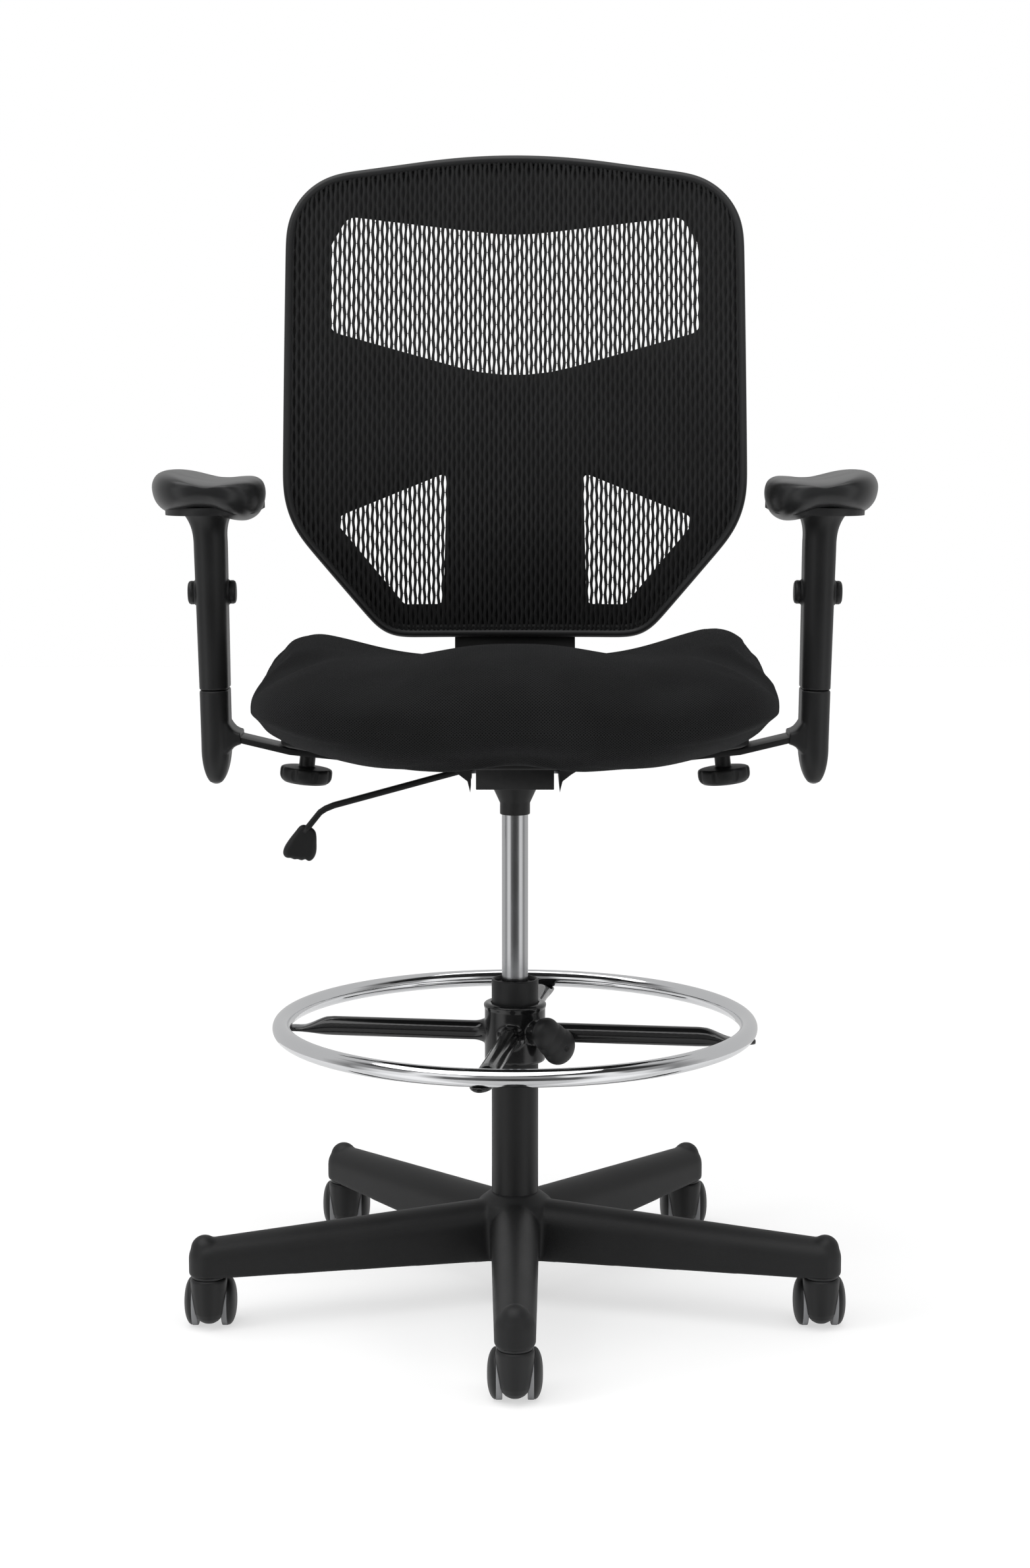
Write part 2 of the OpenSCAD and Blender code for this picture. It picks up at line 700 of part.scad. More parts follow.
// The star knob that clamps an arm bar against the pan
module arm_knob(side) {
    head_h = 17;
    stem_l = 14;
    stem_top = -bar_t / 2 - slide_gap;
    lobes = 8;
    color("#1c1d1f") at_bar(side) difference() {
        union() {
            translate([0, 0, stem_top - 1]) cylinder(d = 8.4, h = bar_t + 10);
            translate([0, 0, stem_top - stem_l]) cylinder(d = 17, h = stem_l);
            translate([0, 0, stem_top - stem_l - head_h]) rotate_extrude() polygon([[0, 0], [knob_d / 2 - 9, 1.5],
                [knob_d / 2 - 2, 5], [knob_d / 2, 8], [knob_d / 2, head_h - 1.5], [knob_d / 2 - 1.5, head_h], [0, head_h]]);
        }
        for (i = [0:lobes - 1]) rotate([0, 0, i * 360 / lobes]) translate([knob_d / 2 + 5, 0, stem_top - 40])
            cylinder(d = 13, h = 40);
    }
}

// The fixed lower half of an arm, with a boss where the bar enters
module arm_socket(side) {
    tip_h = 26;
    boss_x = -arm_w / 2 - 13;
    color("#232427") difference() {
        at_arm(side) union() {
            translate([0, 0, -socket_h + tip_h + 20]) stadium(arm_w, arm_l, socket_h - tip_h - 20);
            hull() {
                translate([0, 0, -socket_h + tip_h + 20]) stadium(arm_w, arm_l, 1, $fn = SMOOTH);
                translate([3, 0, -socket_h + tip_h / 2]) scale([0.85, 1.4, 1]) sphere(d = tip_h, $fn = SMOOTH);
            }
            hull() {
                translate([boss_x, -bar_w / 2 - 3, boss_h - 6]) cube([4, bar_w + 6, 12]);
                translate([-arm_w / 2 + 3, -bar_w / 2 - 3, boss_h - 13]) cube([4, bar_w + 6, 30]);
            }
        }
        on_side(side) translate([0, arm_y, 0]) along(bar_w) polygon(strip(bar_path, bar_t));
        at_arm(side) translate([0, 0, post_foot]) stadium(post_w, post_l, -post_foot + 1);
    }
}

module arm_post(side) {
    color("#2d2e31") at_arm(side) translate([0, 0, post_foot]) difference() {
        stadium(post_w, post_l, post_top - post_foot);
        translate([0, 0, -EPS])
            stadium(post_w - 2 * post_wall, post_l - 2 * post_wall, post_top - post_foot + 2 * EPS);
    }
}

// The sliding upper half of an arm, with a seat for a button on each side
module arm_sleeve(side) {
    color("#232427") at_arm(side) difference() {
        union() {
            translate([0, 0, slide_gap]) stadium(arm_w, arm_l, sleeve_h - slide_gap);
            hull() {
                translate([0, 0, sleeve_h - 1]) stadium(arm_w, arm_l, 1, $fn = SMOOTH);
                translate([0, 0, neck_top - 2]) stadium(arm_w + 18, arm_l + 30, 2, $fn = SMOOTH);
            }
            translate([0, 0, button_h]) rotate([0, 90, 0]) translate([0, 0, -arm_w / 2 - 2])
                cylinder(d = button_d + 4, h = arm_w + 4);
        }
        stadium(post_w + 2 * fit_gap, post_l + 2 * fit_gap, post_top + 4);
        translate([0, 0, button_h]) rotate([0, 90, 0]) {
            for (s = [-1, 1]) translate([0, 0, s * (button_seat + 20) - 20]) cylinder(d = button_d + 2 * fit_gap, h = 40);
            translate([0, 0, -arm_w]) cylinder(d = 8 + 2 * fit_gap, h = 2 * arm_w);
        }
    }
}

// One push button; the inner one faces the seat
module arm_button(side, face) {
    stem_start = post_w / 2 + button_travel + 0.4;
    cap_start = button_seat + button_travel + slide_gap;
    color("#2f3033") at_arm(side) translate([0, 0, button_h]) rotate([0, 90 * face, 0]) {
        translate([0, 0, stem_start]) cylinder(d = 8, h = cap_start - stem_start + 1);
        translate([0, 0, cap_start]) cylinder(d = button_d, h = button_out - cap_start - 1.5);
        translate([0, 0, button_out - 1.5]) cylinder(d1 = button_d, d2 = button_d - 3, h = 1.5);
    }
}

module pad_plate(side) {
    color("#17181a") at_arm(side) translate([pad_shift, -pad_forward, neck_top]) stadium(pad_w - 24, pad_l - 30, pad_plate_t);
}

module arm_pad(side) {
    r = pad_t / 2;
    color("#1d1e20") at_arm(side) translate([pad_shift, -pad_forward, neck_top + pad_plate_t + r])
        hull() for (x = [r - pad_w / 2, pad_w / 2 - r], y = [r - pad_l / 2, pad_l / 2 - r])
            translate([x, y, 0]) sphere(r = r, $fn = COARSE);
}

// ---- back ----

upright_path = concat([[66, upright_z]],
    [for (i = [0:8]) let (a = -90 + i * (90 - upright_lean) / 8)
        [upright_rear + upright_r * cos(a), upright_z + upright_r + upright_r * sin(a)]],
    [[upright_foot_y + upright_l * sin(upright_lean), upright_foot_z + upright_l * cos(upright_lean)]]);

// The bent bar that carries the back, from under the seat to behind the shell
module back_upright() {
    color("#1b1c1e") across(upright_w) polygon(strip(upright_path, upright_t));
}

// Distance of the back's front face behind the lumbar point, at height h above its lower edge
function back_bow(h) = let (t = (h - 117) / 416) t < 0 ? 200 * t * t : 78 * pow(t, 1.4);

// The space between two depths behind the front face, curved both ways
module back_slab(front, rear) {
    span = 40;
    rows = 14;
    bow = [for (i = [-1:rows + 1]) let (h = back_h * i / rows) [back_bow(h), back_z + h]];
    translate([0, lumbar_y - back_curve, 0]) rotate([0, 0, 90 - span / 2]) rotate_extrude(angle = span, $fn = 240)
        polygon(concat([for (p = bow) [back_curve + p.x + front, p.y]],
            [for (i = [rows + 2:-1:0]) [back_curve + bow[i].x + rear, bow[i].y]]));
}

// The back's outline, drawn in by a margin
function back_outline(m) =
    let (
        x = back_w / 2,
        shoulder = back_z + back_h - 29,
        waist = back_z + 136
    )
    rounded(concat([[0, back_z + back_h + 7 - m, 700]],
        [[x - 3 - m, shoulder - m, 75 - m], [x - m, waist + m * 0.37, 110 - m], [x - 111 - m * 0.47, back_z + m, 40 - m]],
        [[-x + 111 + m * 0.47, back_z + m, 40 - m], [-x + m, waist + m * 0.37, 110 - m], [-x + 3 + m, shoulder - m, 75 - m]]), 7);

module back_prism(points) {
    translate([0, lumbar_y + 50, 0]) along(300) polygon(points);
}

// The three windows in the shell: one wide one above and two beside the spine
module shell_windows() {
    x = back_w / 2 - 50;
    low = back_z + 37;
    back_prism(rounded(concat([[0, back_z + 443, 300]],
        [[x - 20, back_z + 464, 14], [x, back_z + 430, 30], [x, back_z + 338, 14], [0, back_z + 281, 240]],
        [[-x, back_z + 338, 14], [-x, back_z + 430, 30], [-x + 20, back_z + 464, 14]])));
    for (s = [-1, 1]) on_side(s) back_prism(rounded([[upright_w / 2 + 8, low + 146, 5], [x - 4, low + 96, 10],
        [x - 82, low, 8], [upright_w / 2 + 12, low, 8]]));
}

// Places children in the sloping frame of the upright's straight part
module at_upright() {
    translate([0, upright_foot_y, upright_foot_z]) rotate([-upright_lean, 0, 0]) children();
}

// The rear shell with a pocket down its spine that slides on the upright
module back_shell() {
    pocket_t = upright_t + 2 * slide_gap;
    pocket_w = upright_w + 2 * slide_gap;
    spine_w = pocket_w + 2 * spine_wall;
    rear = pocket_t / 2 + spine_wall;
    top = upright_l + 2;
    color("#202124") difference() {
        union() {
            difference() {
                intersection() {
                    back_slab(shell_depth, shell_depth + shell_t);
                    back_prism(back_outline(frame_w));
                }
                shell_windows();
            }
            intersection() {
                at_upright() across(spine_w) polygon([[-60, spine_foot], [rear, spine_foot],
                    [rear, top + spine_wall], [rear - 14, top + 24], [-60, top + 44]]);
                back_slab(shell_depth, 120);
            }
        }
        at_upright() translate([-pocket_w / 2, -pocket_t / 2, 0]) cube([pocket_w, pocket_t, top]);
    }
}

module back_frame() {
    color("#1a1b1d") intersection() {
        back_slab(0, frame_t);
        difference() {
            back_prism(back_outline(0));
            back_prism(back_outline(frame_w));
        }
    }
}

module back_mesh() {
    color("#3a3b3e") intersection() {
        back_slab(mesh_depth, mesh_depth + mesh_t);
        back_prism(back_outline(frame_w));
    }
}

base_star();
caster_stems();
column_tube();
column_bush();
thrust_bearing();
piston_rod();
gas_tube();
footring();
footring_collar();
footring_knob();
mechanism_housing();
tilt_pin();
height_lever();
height_lever_knob();
seat_plate();
seat_screws();
seat_pan();
seat_cushion();
back_upright();
back_shell();
back_frame();
back_mesh();
for (n = [1:LEGS]) {
    caster_hood(n);
    caster_axle(n);
    caster_wheel(n, 1);
    caster_wheel(n, -1);
}
for (s = [[1, "left"], [-1, "right"]]) {
    arm_bar(s[0]);
    arm_knob(s[0]);
    arm_socket(s[0]);
    arm_post(s[0]);
    arm_sleeve(s[0]);
    arm_button(s[0], -1);
    arm_button(s[0], 1);
    pad_plate(s[0]);
    arm_pad(s[0]);
}
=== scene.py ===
# The looks of the drafting chair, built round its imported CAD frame.
# Metres, +Z up, the sitter faces -Y, and +X is the sitter's left.
import math

import bmesh
import bpy
import numpy as np
from mathutils import Matrix, Vector


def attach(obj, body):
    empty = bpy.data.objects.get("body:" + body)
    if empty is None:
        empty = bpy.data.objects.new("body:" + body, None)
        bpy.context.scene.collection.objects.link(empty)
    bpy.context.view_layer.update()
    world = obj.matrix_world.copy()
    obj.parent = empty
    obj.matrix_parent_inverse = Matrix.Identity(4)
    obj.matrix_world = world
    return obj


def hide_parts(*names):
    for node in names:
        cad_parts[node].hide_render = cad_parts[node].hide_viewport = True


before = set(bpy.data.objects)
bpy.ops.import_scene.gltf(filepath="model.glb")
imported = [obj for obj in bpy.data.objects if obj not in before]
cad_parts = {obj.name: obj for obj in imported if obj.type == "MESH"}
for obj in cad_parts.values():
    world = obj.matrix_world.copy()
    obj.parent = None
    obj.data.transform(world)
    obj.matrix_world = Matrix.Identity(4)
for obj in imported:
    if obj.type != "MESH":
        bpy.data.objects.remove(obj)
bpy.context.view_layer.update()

SCENE = bpy.context.scene
MM = 0.001

# Sizes that repeat the CAD source's, in millimetres
BASE_R, LEG_END_W, LEG_HUB_W, SOCKET_Z, LEG_END_H, HUB_Z = 338, 41, 51, 60, 39, 122
WHEEL_D, WHEEL_W, CASTER_W, TRAIL = 52, 15, 55, 20
COLUMN_D, COLUMN_TOP, ROD_D, GAS_TOP = 50, 355, 28, 585
RING_D, RING_TUBE, RING_Z, COLLAR_D, COLLAR_TOP, COLLAR_H, SPOKE_D = 500, 18.8, 305, 67, 330, 64, 21
RING_TURN, KNOB_TURN = -8, -50
ARM_X, ARM_Y, SPLIT_Z, ARM_LEAN, ARM_L = 321, 45, 662, 1, 58
ARM_W, NECK_TOP, PAD_SHIFT, PAD_FORWARD, PAD_L = 34, 191, -5, 42.5, 245
BUTTON_H, BUTTON_D = 103, 24
KNOB_X, BAR_Z, BAR_SLOPE, BAR_T, KNOB_D = 222, 594, 6, 6, 56
PAN_Z = 603
BACK_Z, BACK_H, BACK_W, BACK_R, LUMBAR_Y, FRAME_W, FRAME_T = 704, 533, 510, 1000, 172, 10, 20
LEGS = 5


# ---- mesh helpers ----

def link(name, mesh):
    ob = bpy.data.objects.new(name, mesh)
    SCENE.collection.objects.link(ob)
    return ob


def skin(name, verts, faces, scale=MM):
    """A smooth-shaded object from vertices in millimetres, with its normals facing out."""
    mesh = bpy.data.meshes.new(name)
    mesh.from_pydata([tuple(float(c) * scale for c in v) for v in verts], [], [tuple(f) for f in faces])
    bm = bmesh.new()
    bm.from_mesh(mesh)
    bmesh.ops.remove_doubles(bm, verts=bm.verts, dist=1e-7)
    bmesh.ops.recalc_face_normals(bm, faces=bm.faces)
    bm.to_mesh(mesh)
    bm.free()
    mesh.shade_smooth()
    return link(name, mesh)


def loft(rings, caps=True):
    """Vertices and faces of a skin over closed rings of equally many points."""
    rings = np.asarray(rings, float)
    n, m = rings.shape[:2]
    faces = [(i * m + j, i * m + (j + 1) % m, (i + 1) * m + (j + 1) % m, (i + 1) * m + j)
             for i in range(n - 1) for j in range(m)]
    if caps:
        faces += [tuple(range(m)), tuple((n - 1) * m + j for j in range(m))]
    return rings.reshape(-1, 3), faces


def signed_power(v, p):
    return np.sign(v) * np.abs(v) ** p


def oval(half_w, half_l, n=40, power=2.0):
    """Points of a superellipse round the origin."""
    a = np.linspace(0, 2 * math.pi, n, endpoint=False)
    return np.stack([half_w * signed_power(np.cos(a), 2 / power), half_l * signed_power(np.sin(a), 2 / power)], 1)


def capsule(w, l, n=48):
    """Points of a bar's section w across and l long with half-round ends."""
    a = np.linspace(0, 2 * math.pi, n, endpoint=False)
    p = np.stack([np.cos(a), np.sin(a)], 1) * w / 2
    p[:, 1] += np.where(p[:, 1] >= 0, 1, -1) * (l - w) / 2
    return p


def revolve(profile, n=64, closed=False):
    """Vertices and faces of [radius, height] points turned round the Z axis."""
    rings = []
    for r, z in profile:
        a = np.linspace(0, 2 * math.pi, n, endpoint=False)
        rings.append(np.stack([max(r, 0) * np.cos(a), max(r, 0) * np.sin(a), np.full(n, z)], 1))
    if closed:
        rings.append(rings[0])
    return loft(rings, caps=not closed)


def placed(part, matrix):
    """Vertices moved by a matrix in millimetres."""
    verts, faces = part
    verts = np.asarray(verts, float)
    m = np.array(matrix, float)
    return verts @ m[:3, :3].T + m[:3, 3], faces


def merged(parts):
    verts, faces, base = [], [], 0
    for v, f in parts:
        verts.append(np.asarray(v, float))
        faces += [tuple(i + base for i in face) for face in f]
        base += len(v)
    return np.vstack(verts), faces


def turned(axis, degrees):
    return Matrix.Rotation(math.radians(degrees), 4, axis)


def moved(x, y, z):
    return Matrix.Translation((x, y, z))


def apply_modifiers(ob):
    graph = bpy.context.evaluated_depsgraph_get()
    mesh = bpy.data.meshes.new_from_object(ob.evaluated_get(graph))
    ob.modifiers.clear()
    ob.data = mesh
    mesh.shade_smooth()
    return ob


def cut_away(ob, parts):
    """Subtracts closed parts, in millimetres, from an object."""
    for i, part in enumerate(parts):
        tool = skin(f"{ob.name}_cutter_{i}", *part)
        cut = ob.modifiers.new("cut", "BOOLEAN")
        cut.operation, cut.object, cut.solver = "DIFFERENCE", tool, "EXACT"
        apply_modifiers(ob)
        bpy.data.objects.remove(tool)
    return ob


def fused(name, parts, voxel, rounds, cutters=()):
    """One skin over overlapping closed parts, with soft blends where they meet."""
    ob = skin(name, *merged(parts))
    mesh = ob.modifiers.new("voxels", "REMESH")
    mesh.mode, mesh.voxel_size = "VOXEL", voxel * MM
    apply_modifiers(ob)
    if cutters:
        cut_away(ob, cutters)
    if rounds:
        soft = ob.modifiers.new("soften", "SMOOTH")
        soft.factor, soft.iterations = 0.5, rounds
        apply_modifiers(ob)
    return ob


def copy_at(ob, name, matrix):
    """A copy of an object's mesh, moved by a matrix in millimetres."""
    mesh = ob.data.copy()
    m = matrix.copy()
    m.translation *= MM
    mesh.transform(m)
    if m.determinant() < 0:
        mesh.flip_normals()
    return link(name, mesh)


def finish_piece(ob, body, slot, material, *nodes):
    """Gives a piece its material and body, and hides the CAD nodes it stands for. The slot argument is not used."""
    if material is not None:
        ob.data.materials.clear()
        ob.data.materials.append(material)
    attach(ob, body)
    if nodes:
        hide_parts(*nodes)
    return ob


def soften_node(name, material, width=0.8, angle=35):
    """Rounds a CAD node's edges a little, as pressed or moulded edges are, and gives it a material."""
    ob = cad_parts[name]
    weld = ob.modifiers.new("weld", "WELD")
    weld.merge_threshold = 1e-5
    bevel = ob.modifiers.new("edges", "BEVEL")
    bevel.width, bevel.segments, bevel.limit_method = width * MM, 2, "ANGLE"
    bevel.angle_limit = math.radians(angle)
    bevel.harden_normals = True
    for p in ob.data.polygons:
        p.use_smooth = True
    ob.data.materials.clear()
    ob.data.materials.append(material)


# ---- materials ----

class Shader:
    """A small builder for a node material with one Principled shader."""

    def __init__(self, name, **sockets):
        self.material = bpy.data.materials.new(name)
        self.material.use_nodes = True
        self.tree = self.material.node_tree
        self.shader = self.tree.nodes["Principled BSDF"]
        for key, value in sockets.items():
            self.shader.inputs[key.replace("_", " ")].default_value = value
        self.place = self.node("ShaderNodeTexCoord").outputs["Object"]

    def node(self, kind, inputs=(), **settings):
        made = self.tree.nodes.new(kind)
        for key, value in settings.items():
            setattr(made, key, value)
        for key, value in dict(inputs).items():
            if isinstance(value, bpy.types.NodeSocket):
                self.tree.links.new(value, made.inputs[key])
            else:
                made.inputs[key].default_value = value
        return made

    def noise(self, scale, detail=2.0, rough=0.5, at=None, stretch=None):
        where = at or self.place
        if stretch:
            where = self.node("ShaderNodeMapping", {"Vector": where, "Scale": stretch}).outputs[0]
        return self.node("ShaderNodeTexNoise", {"Vector": where, "Scale": scale, "Detail": detail,
                                                "Roughness": rough}).outputs["Fac"]

    def math(self, operation, a, b=0.0, c=0.0, clamp=False):
        return self.node("ShaderNodeMath", {0: a, 1: b, 2: c}, operation=operation, use_clamp=clamp).outputs[0]

    def remap(self, value, low, high, to_low, to_high):
        return self.node("ShaderNodeMapRange", {"Value": value, "From Min": low, "From Max": high,
                                                "To Min": to_low, "To Max": to_high}).outputs[0]

    def mix(self, factor, a, b):
        made = self.node("ShaderNodeMix", data_type="RGBA")
        for index, value in ((0, factor), (6, a), (7, b)):
            if isinstance(value, bpy.types.NodeSocket):
                self.tree.links.new(value, made.inputs[index])
            else:
                made.inputs[index].default_value = value
        return made.outputs[2]

    def bump(self, height, distance, strength=1.0, below=None):
        made = self.node("ShaderNodeBump", {"Height": height, "Distance": distance, "Strength": strength})
        if below is not None:
            self.tree.links.new(below, made.inputs["Normal"])
        return made.outputs[0]

    def set(self, **links):
        for key, value in links.items():
            self.tree.links.new(value, self.shader.inputs[key.replace("_", " ")])
        return self


def grey(level, tint=0.0):
    return (level, level * (1 + tint * 0.3), level * (1 + tint), 1)


def moulded(name, level, rough, grain=1500, depth=0.06, spec=0.35, wear=0.02, coat=0.0):
    """Black moulded plastic or powder coat: fine grain, uneven gloss and paler worn edges."""
    s = Shader(name, Specular_IOR_Level=spec, Coat_Weight=coat, Coat_Roughness=0.12)
    patches = s.noise(9, 4)
    fine = s.noise(grain, 2, 0.6)
    edge = s.remap(s.node("ShaderNodeNewGeometry").outputs["Pointiness"], 0.52, 0.62, 0, 1)
    colour = s.mix(s.remap(patches, 0.3, 0.7, 0, 1), grey(level * 0.82, 0.04), grey(level * 1.2, 0.05))
    colour = s.mix(s.math("MULTIPLY", edge, s.noise(160, 3), clamp=True), colour, grey(level + wear, 0.03))
    roughness = s.math("ADD", s.remap(patches, 0.3, 0.7, rough - 0.05, rough + 0.05),
                       s.remap(fine, 0.3, 0.7, -0.03, 0.03))
    s.set(Base_Color=colour, Roughness=roughness, Normal=s.bump(fine, depth * MM))
    return s.material


def chromed(name, level=0.8, rough=0.07):
    """Polished chrome with faint wipe marks along its length."""
    s = Shader(name, Metallic=1.0, Specular_IOR_Level=0.5)
    wipe = s.noise(60, 3, 0.6, stretch=(1, 1, 0.12))
    smudge = s.noise(14, 4, 0.55)
    s.set(Base_Color=s.mix(smudge, grey(level * 0.96, 0.02), grey(level, 0.03)),
          Roughness=s.math("ADD", s.remap(smudge, 0.35, 0.7, rough - 0.02, rough + 0.05),
                           s.remap(wipe, 0.3, 0.7, -0.01, 0.02)),
          Normal=s.bump(wipe, 0.01 * MM, 0.5))
    return s.material


def zinc(name, level=0.42):
    """Bright zinc plate with fine turning marks."""
    s = Shader(name, Metallic=1.0)
    marks = s.noise(900, 2, 0.5, stretch=(0.15, 1, 1))
    stain = s.noise(40, 4, 0.6)
    s.set(Base_Color=s.mix(stain, grey(level * 0.8, 0.05), grey(level * 1.1, 0.08)),
          Roughness=s.remap(marks, 0.3, 0.7, 0.25, 0.42), Normal=s.bump(marks, 0.02 * MM))
    return s.material


def spacer_fabric(name):
    """Knitted spacer mesh: staggered round holes between soft ribs, with painted shade darkening the holes, on
    coordinates laid over the cushion.
    """
    s = Shader(name, Specular_IOR_Level=0.08, Sheen_Weight=0.03, Sheen_Roughness=0.45,
               Sheen_Tint=(0.6, 0.62, 0.66, 1))
    across = s.node("ShaderNodeAttribute", attribute_name="across").outputs["Fac"]
    along = s.node("ShaderNodeAttribute", attribute_name="along").outputs["Fac"]
    u = s.math("MULTIPLY", across, 1 / 3.4)
    v = s.math("MULTIPLY", along, 1 / 3.0)
    two = 2 * math.pi
    wave = s.math("MULTIPLY", s.math("COSINE", s.math("MULTIPLY", u, two)),
                  s.math("COSINE", s.math("MULTIPLY", v, two)))
    hole = s.remap(wave, 0.12, 0.75, 0, 1)
    yarn = s.noise(2600, 2, 0.6)
    patches = s.noise(11, 3)
    worn = s.mix(s.remap(patches, 0.3, 0.7, 0, 1), grey(0.0085, 0.03), grey(0.0125, 0.04))
    # The holes get a near-black colour: painted shade in the recesses between the ribs.
    s.set(Base_Color=s.mix(hole, worn, grey(0.0022)),
          Roughness=s.remap(yarn, 0.3, 0.7, 0.78, 0.95),
          Normal=s.bump(s.math("SUBTRACT", s.math("MULTIPLY", yarn, 0.35), hole), 0.55 * MM, 0.9))
    return s.material


def net_yarn(name):
    """The back's coarse net: matt yarn with a twist along each strand."""
    s = Shader(name, Specular_IOR_Level=0.15, Sheen_Weight=0.03, Sheen_Roughness=0.4)
    twist = s.noise(1400, 2, 0.6, stretch=(1, 1, 0.35))
    patches = s.noise(14, 3)
    s.set(Base_Color=s.mix(patches, grey(0.012, 0.02), grey(0.019, 0.04)),
          Roughness=s.remap(twist, 0.3, 0.7, 0.6, 0.85), Normal=s.bump(twist, 0.12 * MM))
    return s.material


BASE_NYLON = moulded("black_nylon", 0.010, 0.48, 900, 0.12, 0.26, 0.012)
CASTER_NYLON = moulded("caster_nylon", 0.011, 0.42, 1800, 0.05, 0.28, 0.012)
TREAD = moulded("grey_tread", 0.2, 0.6, 1200, 0.06, 0.3, 0.03)
COLUMN_BLACK = moulded("column_paint", 0.009, 0.42, 1500, 0.06, 0.3, 0.01)
STEEL_BLACK = moulded("powder_coat", 0.008, 0.4, 1100, 0.08, 0.3, 0.012)
# Caster stems: near-black as painted shade, so the gap between each caster hood and its leg reads dark.
STEM_SHADE_BLACK = moulded("stem_painted_shade", 0.02, 0.45, 900, 0.03, 0.3)
ENAMEL = moulded("gloss_enamel", 0.006, 0.14, 300, 0.02, 0.4, 0.01, 0.35)
BUSH = moulded("acetal", 0.008, 0.5, 1500, 0.03, 0.3, 0.01)
KNOB_BLACK = moulded("knob_plastic", 0.010, 0.42, 1500, 0.08, 0.3, 0.012)
PAN_BLACK = moulded("pan_plastic", 0.008, 0.5, 1100, 0.08, 0.25, 0.01)
BACK_BLACK = moulded("back_plastic", 0.015, 0.42, 1300, 0.08, 0.3, 0.012)
ARM_BLACK = moulded("arm_plastic", 0.012, 0.4, 1600, 0.07, 0.32, 0.012)
PAD_BLACK = moulded("pad_skin", 0.013, 0.32, 2200, 0.03, 0.4, 0.01)
CHROME = chromed("chrome", 0.78, 0.05)
SATIN = chromed("satin_chrome", 0.6, 0.2)
ZINC = zinc("zinc_plate")
SEAT_FABRIC = spacer_fabric("spacer_mesh")
BACK_NET = net_yarn("net_yarn")


# ---- base and column ----

def leg_rings():
    """Rings of one leg along +X, from the middle of the hub to its rounded end."""
    rings = []
    end_r = LEG_END_W / 2
    stations = [(u, 1.0) for u in np.linspace(0, BASE_R, 24)]
    stations += [(BASE_R + end_r * math.sin(a), math.cos(a)) for a in np.radians([15, 30, 45, 58, 70, 80, 87])]
    for u, fade in stations:
        share = min(max((u - COLUMN_D / 2) / (BASE_R - COLUMN_D / 2), 0), 1)
        half = (LEG_HUB_W / 2 + (end_r - LEG_HUB_W / 2) * share)
        foot = SOCKET_Z - 8 * (1 - share)
        spring = (HUB_Z - 6 - LEG_HUB_W / 2) + (SOCKET_Z + LEG_END_H - end_r - (HUB_Z - 6 - LEG_HUB_W / 2)) * share
        a = np.linspace(0, math.pi, 17)
        top = np.stack([half * fade * np.cos(a), spring + half * (1 if fade == 1 else fade ** 0.9) * np.sin(a)], 1)
        low = np.array([[-half * fade, foot + 2], [-(half - 2) * fade, foot],
                        [(half - 2) * fade, foot], [half * fade, foot + 2]])
        side = np.vstack([top, low])
        rings.append([[u, y, z] for y, z in side])
    return rings


def ball_profile(r, reach, step=10):
    """A ball's profile, with its poles joined to the last ring at `reach` degrees."""
    return [(0, -r)] + [(r * math.cos(a), r * math.sin(a)) for a in np.radians(range(-reach, 90, step))] + [(0, r)]


def make_base():
    parts, hollows = [], []
    wall = 4.5
    for i in range(LEGS):
        turn = turned("Z", i * 72 - 90)
        parts.append(placed(loft(leg_rings()), turn))
        bump = revolve(ball_profile(15, 80), 40)
        parts.append(placed(bump, turn @ moved(BASE_R + 3.5, 0, SOCKET_Z + LEG_END_H - 11)))
        near, far = 52, BASE_R - LEG_END_W / 2 - 8
        middle = (near + far) / 2
        near_w, far_w = LEG_HUB_W / 2 - wall - 3, LEG_END_W / 2 - wall
        mid_w = (near_w + far_w) / 2
        for a, b, wa, wb in ((near, middle - 2, near_w, mid_w), (middle + 2, far, mid_w, far_w)):
            ring = lambda z: [[a, -wa, z], [b, -wb, z], [b, wb, z], [a, wa, z]]
            hollows.append(placed(loft([ring(SOCKET_Z - 14), ring(SOCKET_Z + 21)]), turn))
    hub = [(0, SOCKET_Z - 6), (44, SOCKET_Z - 6), (46, SOCKET_Z + 10), (47, HUB_Z - 30), (45, HUB_Z - 20),
           (39, HUB_Z - 10), (31, HUB_Z - 3.5), (27, HUB_Z - 0.5), (25.5, HUB_Z), (0, HUB_Z)]
    parts.append(revolve(hub, 96))
    base = fused("base_body", parts, 1.7, 9, [merged(hollows)])
    return finish_piece(base, "base", "base_nylon", BASE_NYLON, "base_star")


def tube_profile(r, low, high, round_off):
    """A solid bar's profile with rounded ends."""
    arc = [(r - round_off * (1 - math.cos(a)), round_off * (1 - math.sin(a))) for a in np.radians(range(0, 91, 15))]
    return [(0, low)] + [(x, low + y) for x, y in arc[::-1]] + [(x, high - y) for x, y in arc] + [(0, high)]


def make_column():
    wall, recess = 3, 4
    outer = [(COLUMN_D / 2, z) for z in np.linspace(64, COLUMN_TOP - 1.2, 24)]
    rim = [(COLUMN_D / 2 - 0.4, COLUMN_TOP - 0.35), (COLUMN_D / 2 - 1.2, COLUMN_TOP),
           (COLUMN_D / 2 - wall + 0.8, COLUMN_TOP), (COLUMN_D / 2 - wall, COLUMN_TOP - 0.8)]
    inner = [(COLUMN_D / 2 - wall, COLUMN_TOP - recess - 6), (COLUMN_D / 2 - wall, 68), (5.1, 68), (5.1, 64)]
    column = skin("column_sleeve", *revolve(outer + rim + inner, 96, closed=True))
    finish_piece(column, "base", "black_steel", COLUMN_BLACK, "column_tube")
    rod = skin("gas_spring_tube", *revolve(tube_profile(ROD_D / 2, 236, GAS_TOP, 1.5), 96))
    finish_piece(rod, "carrier", "chrome", SATIN, "gas_tube")


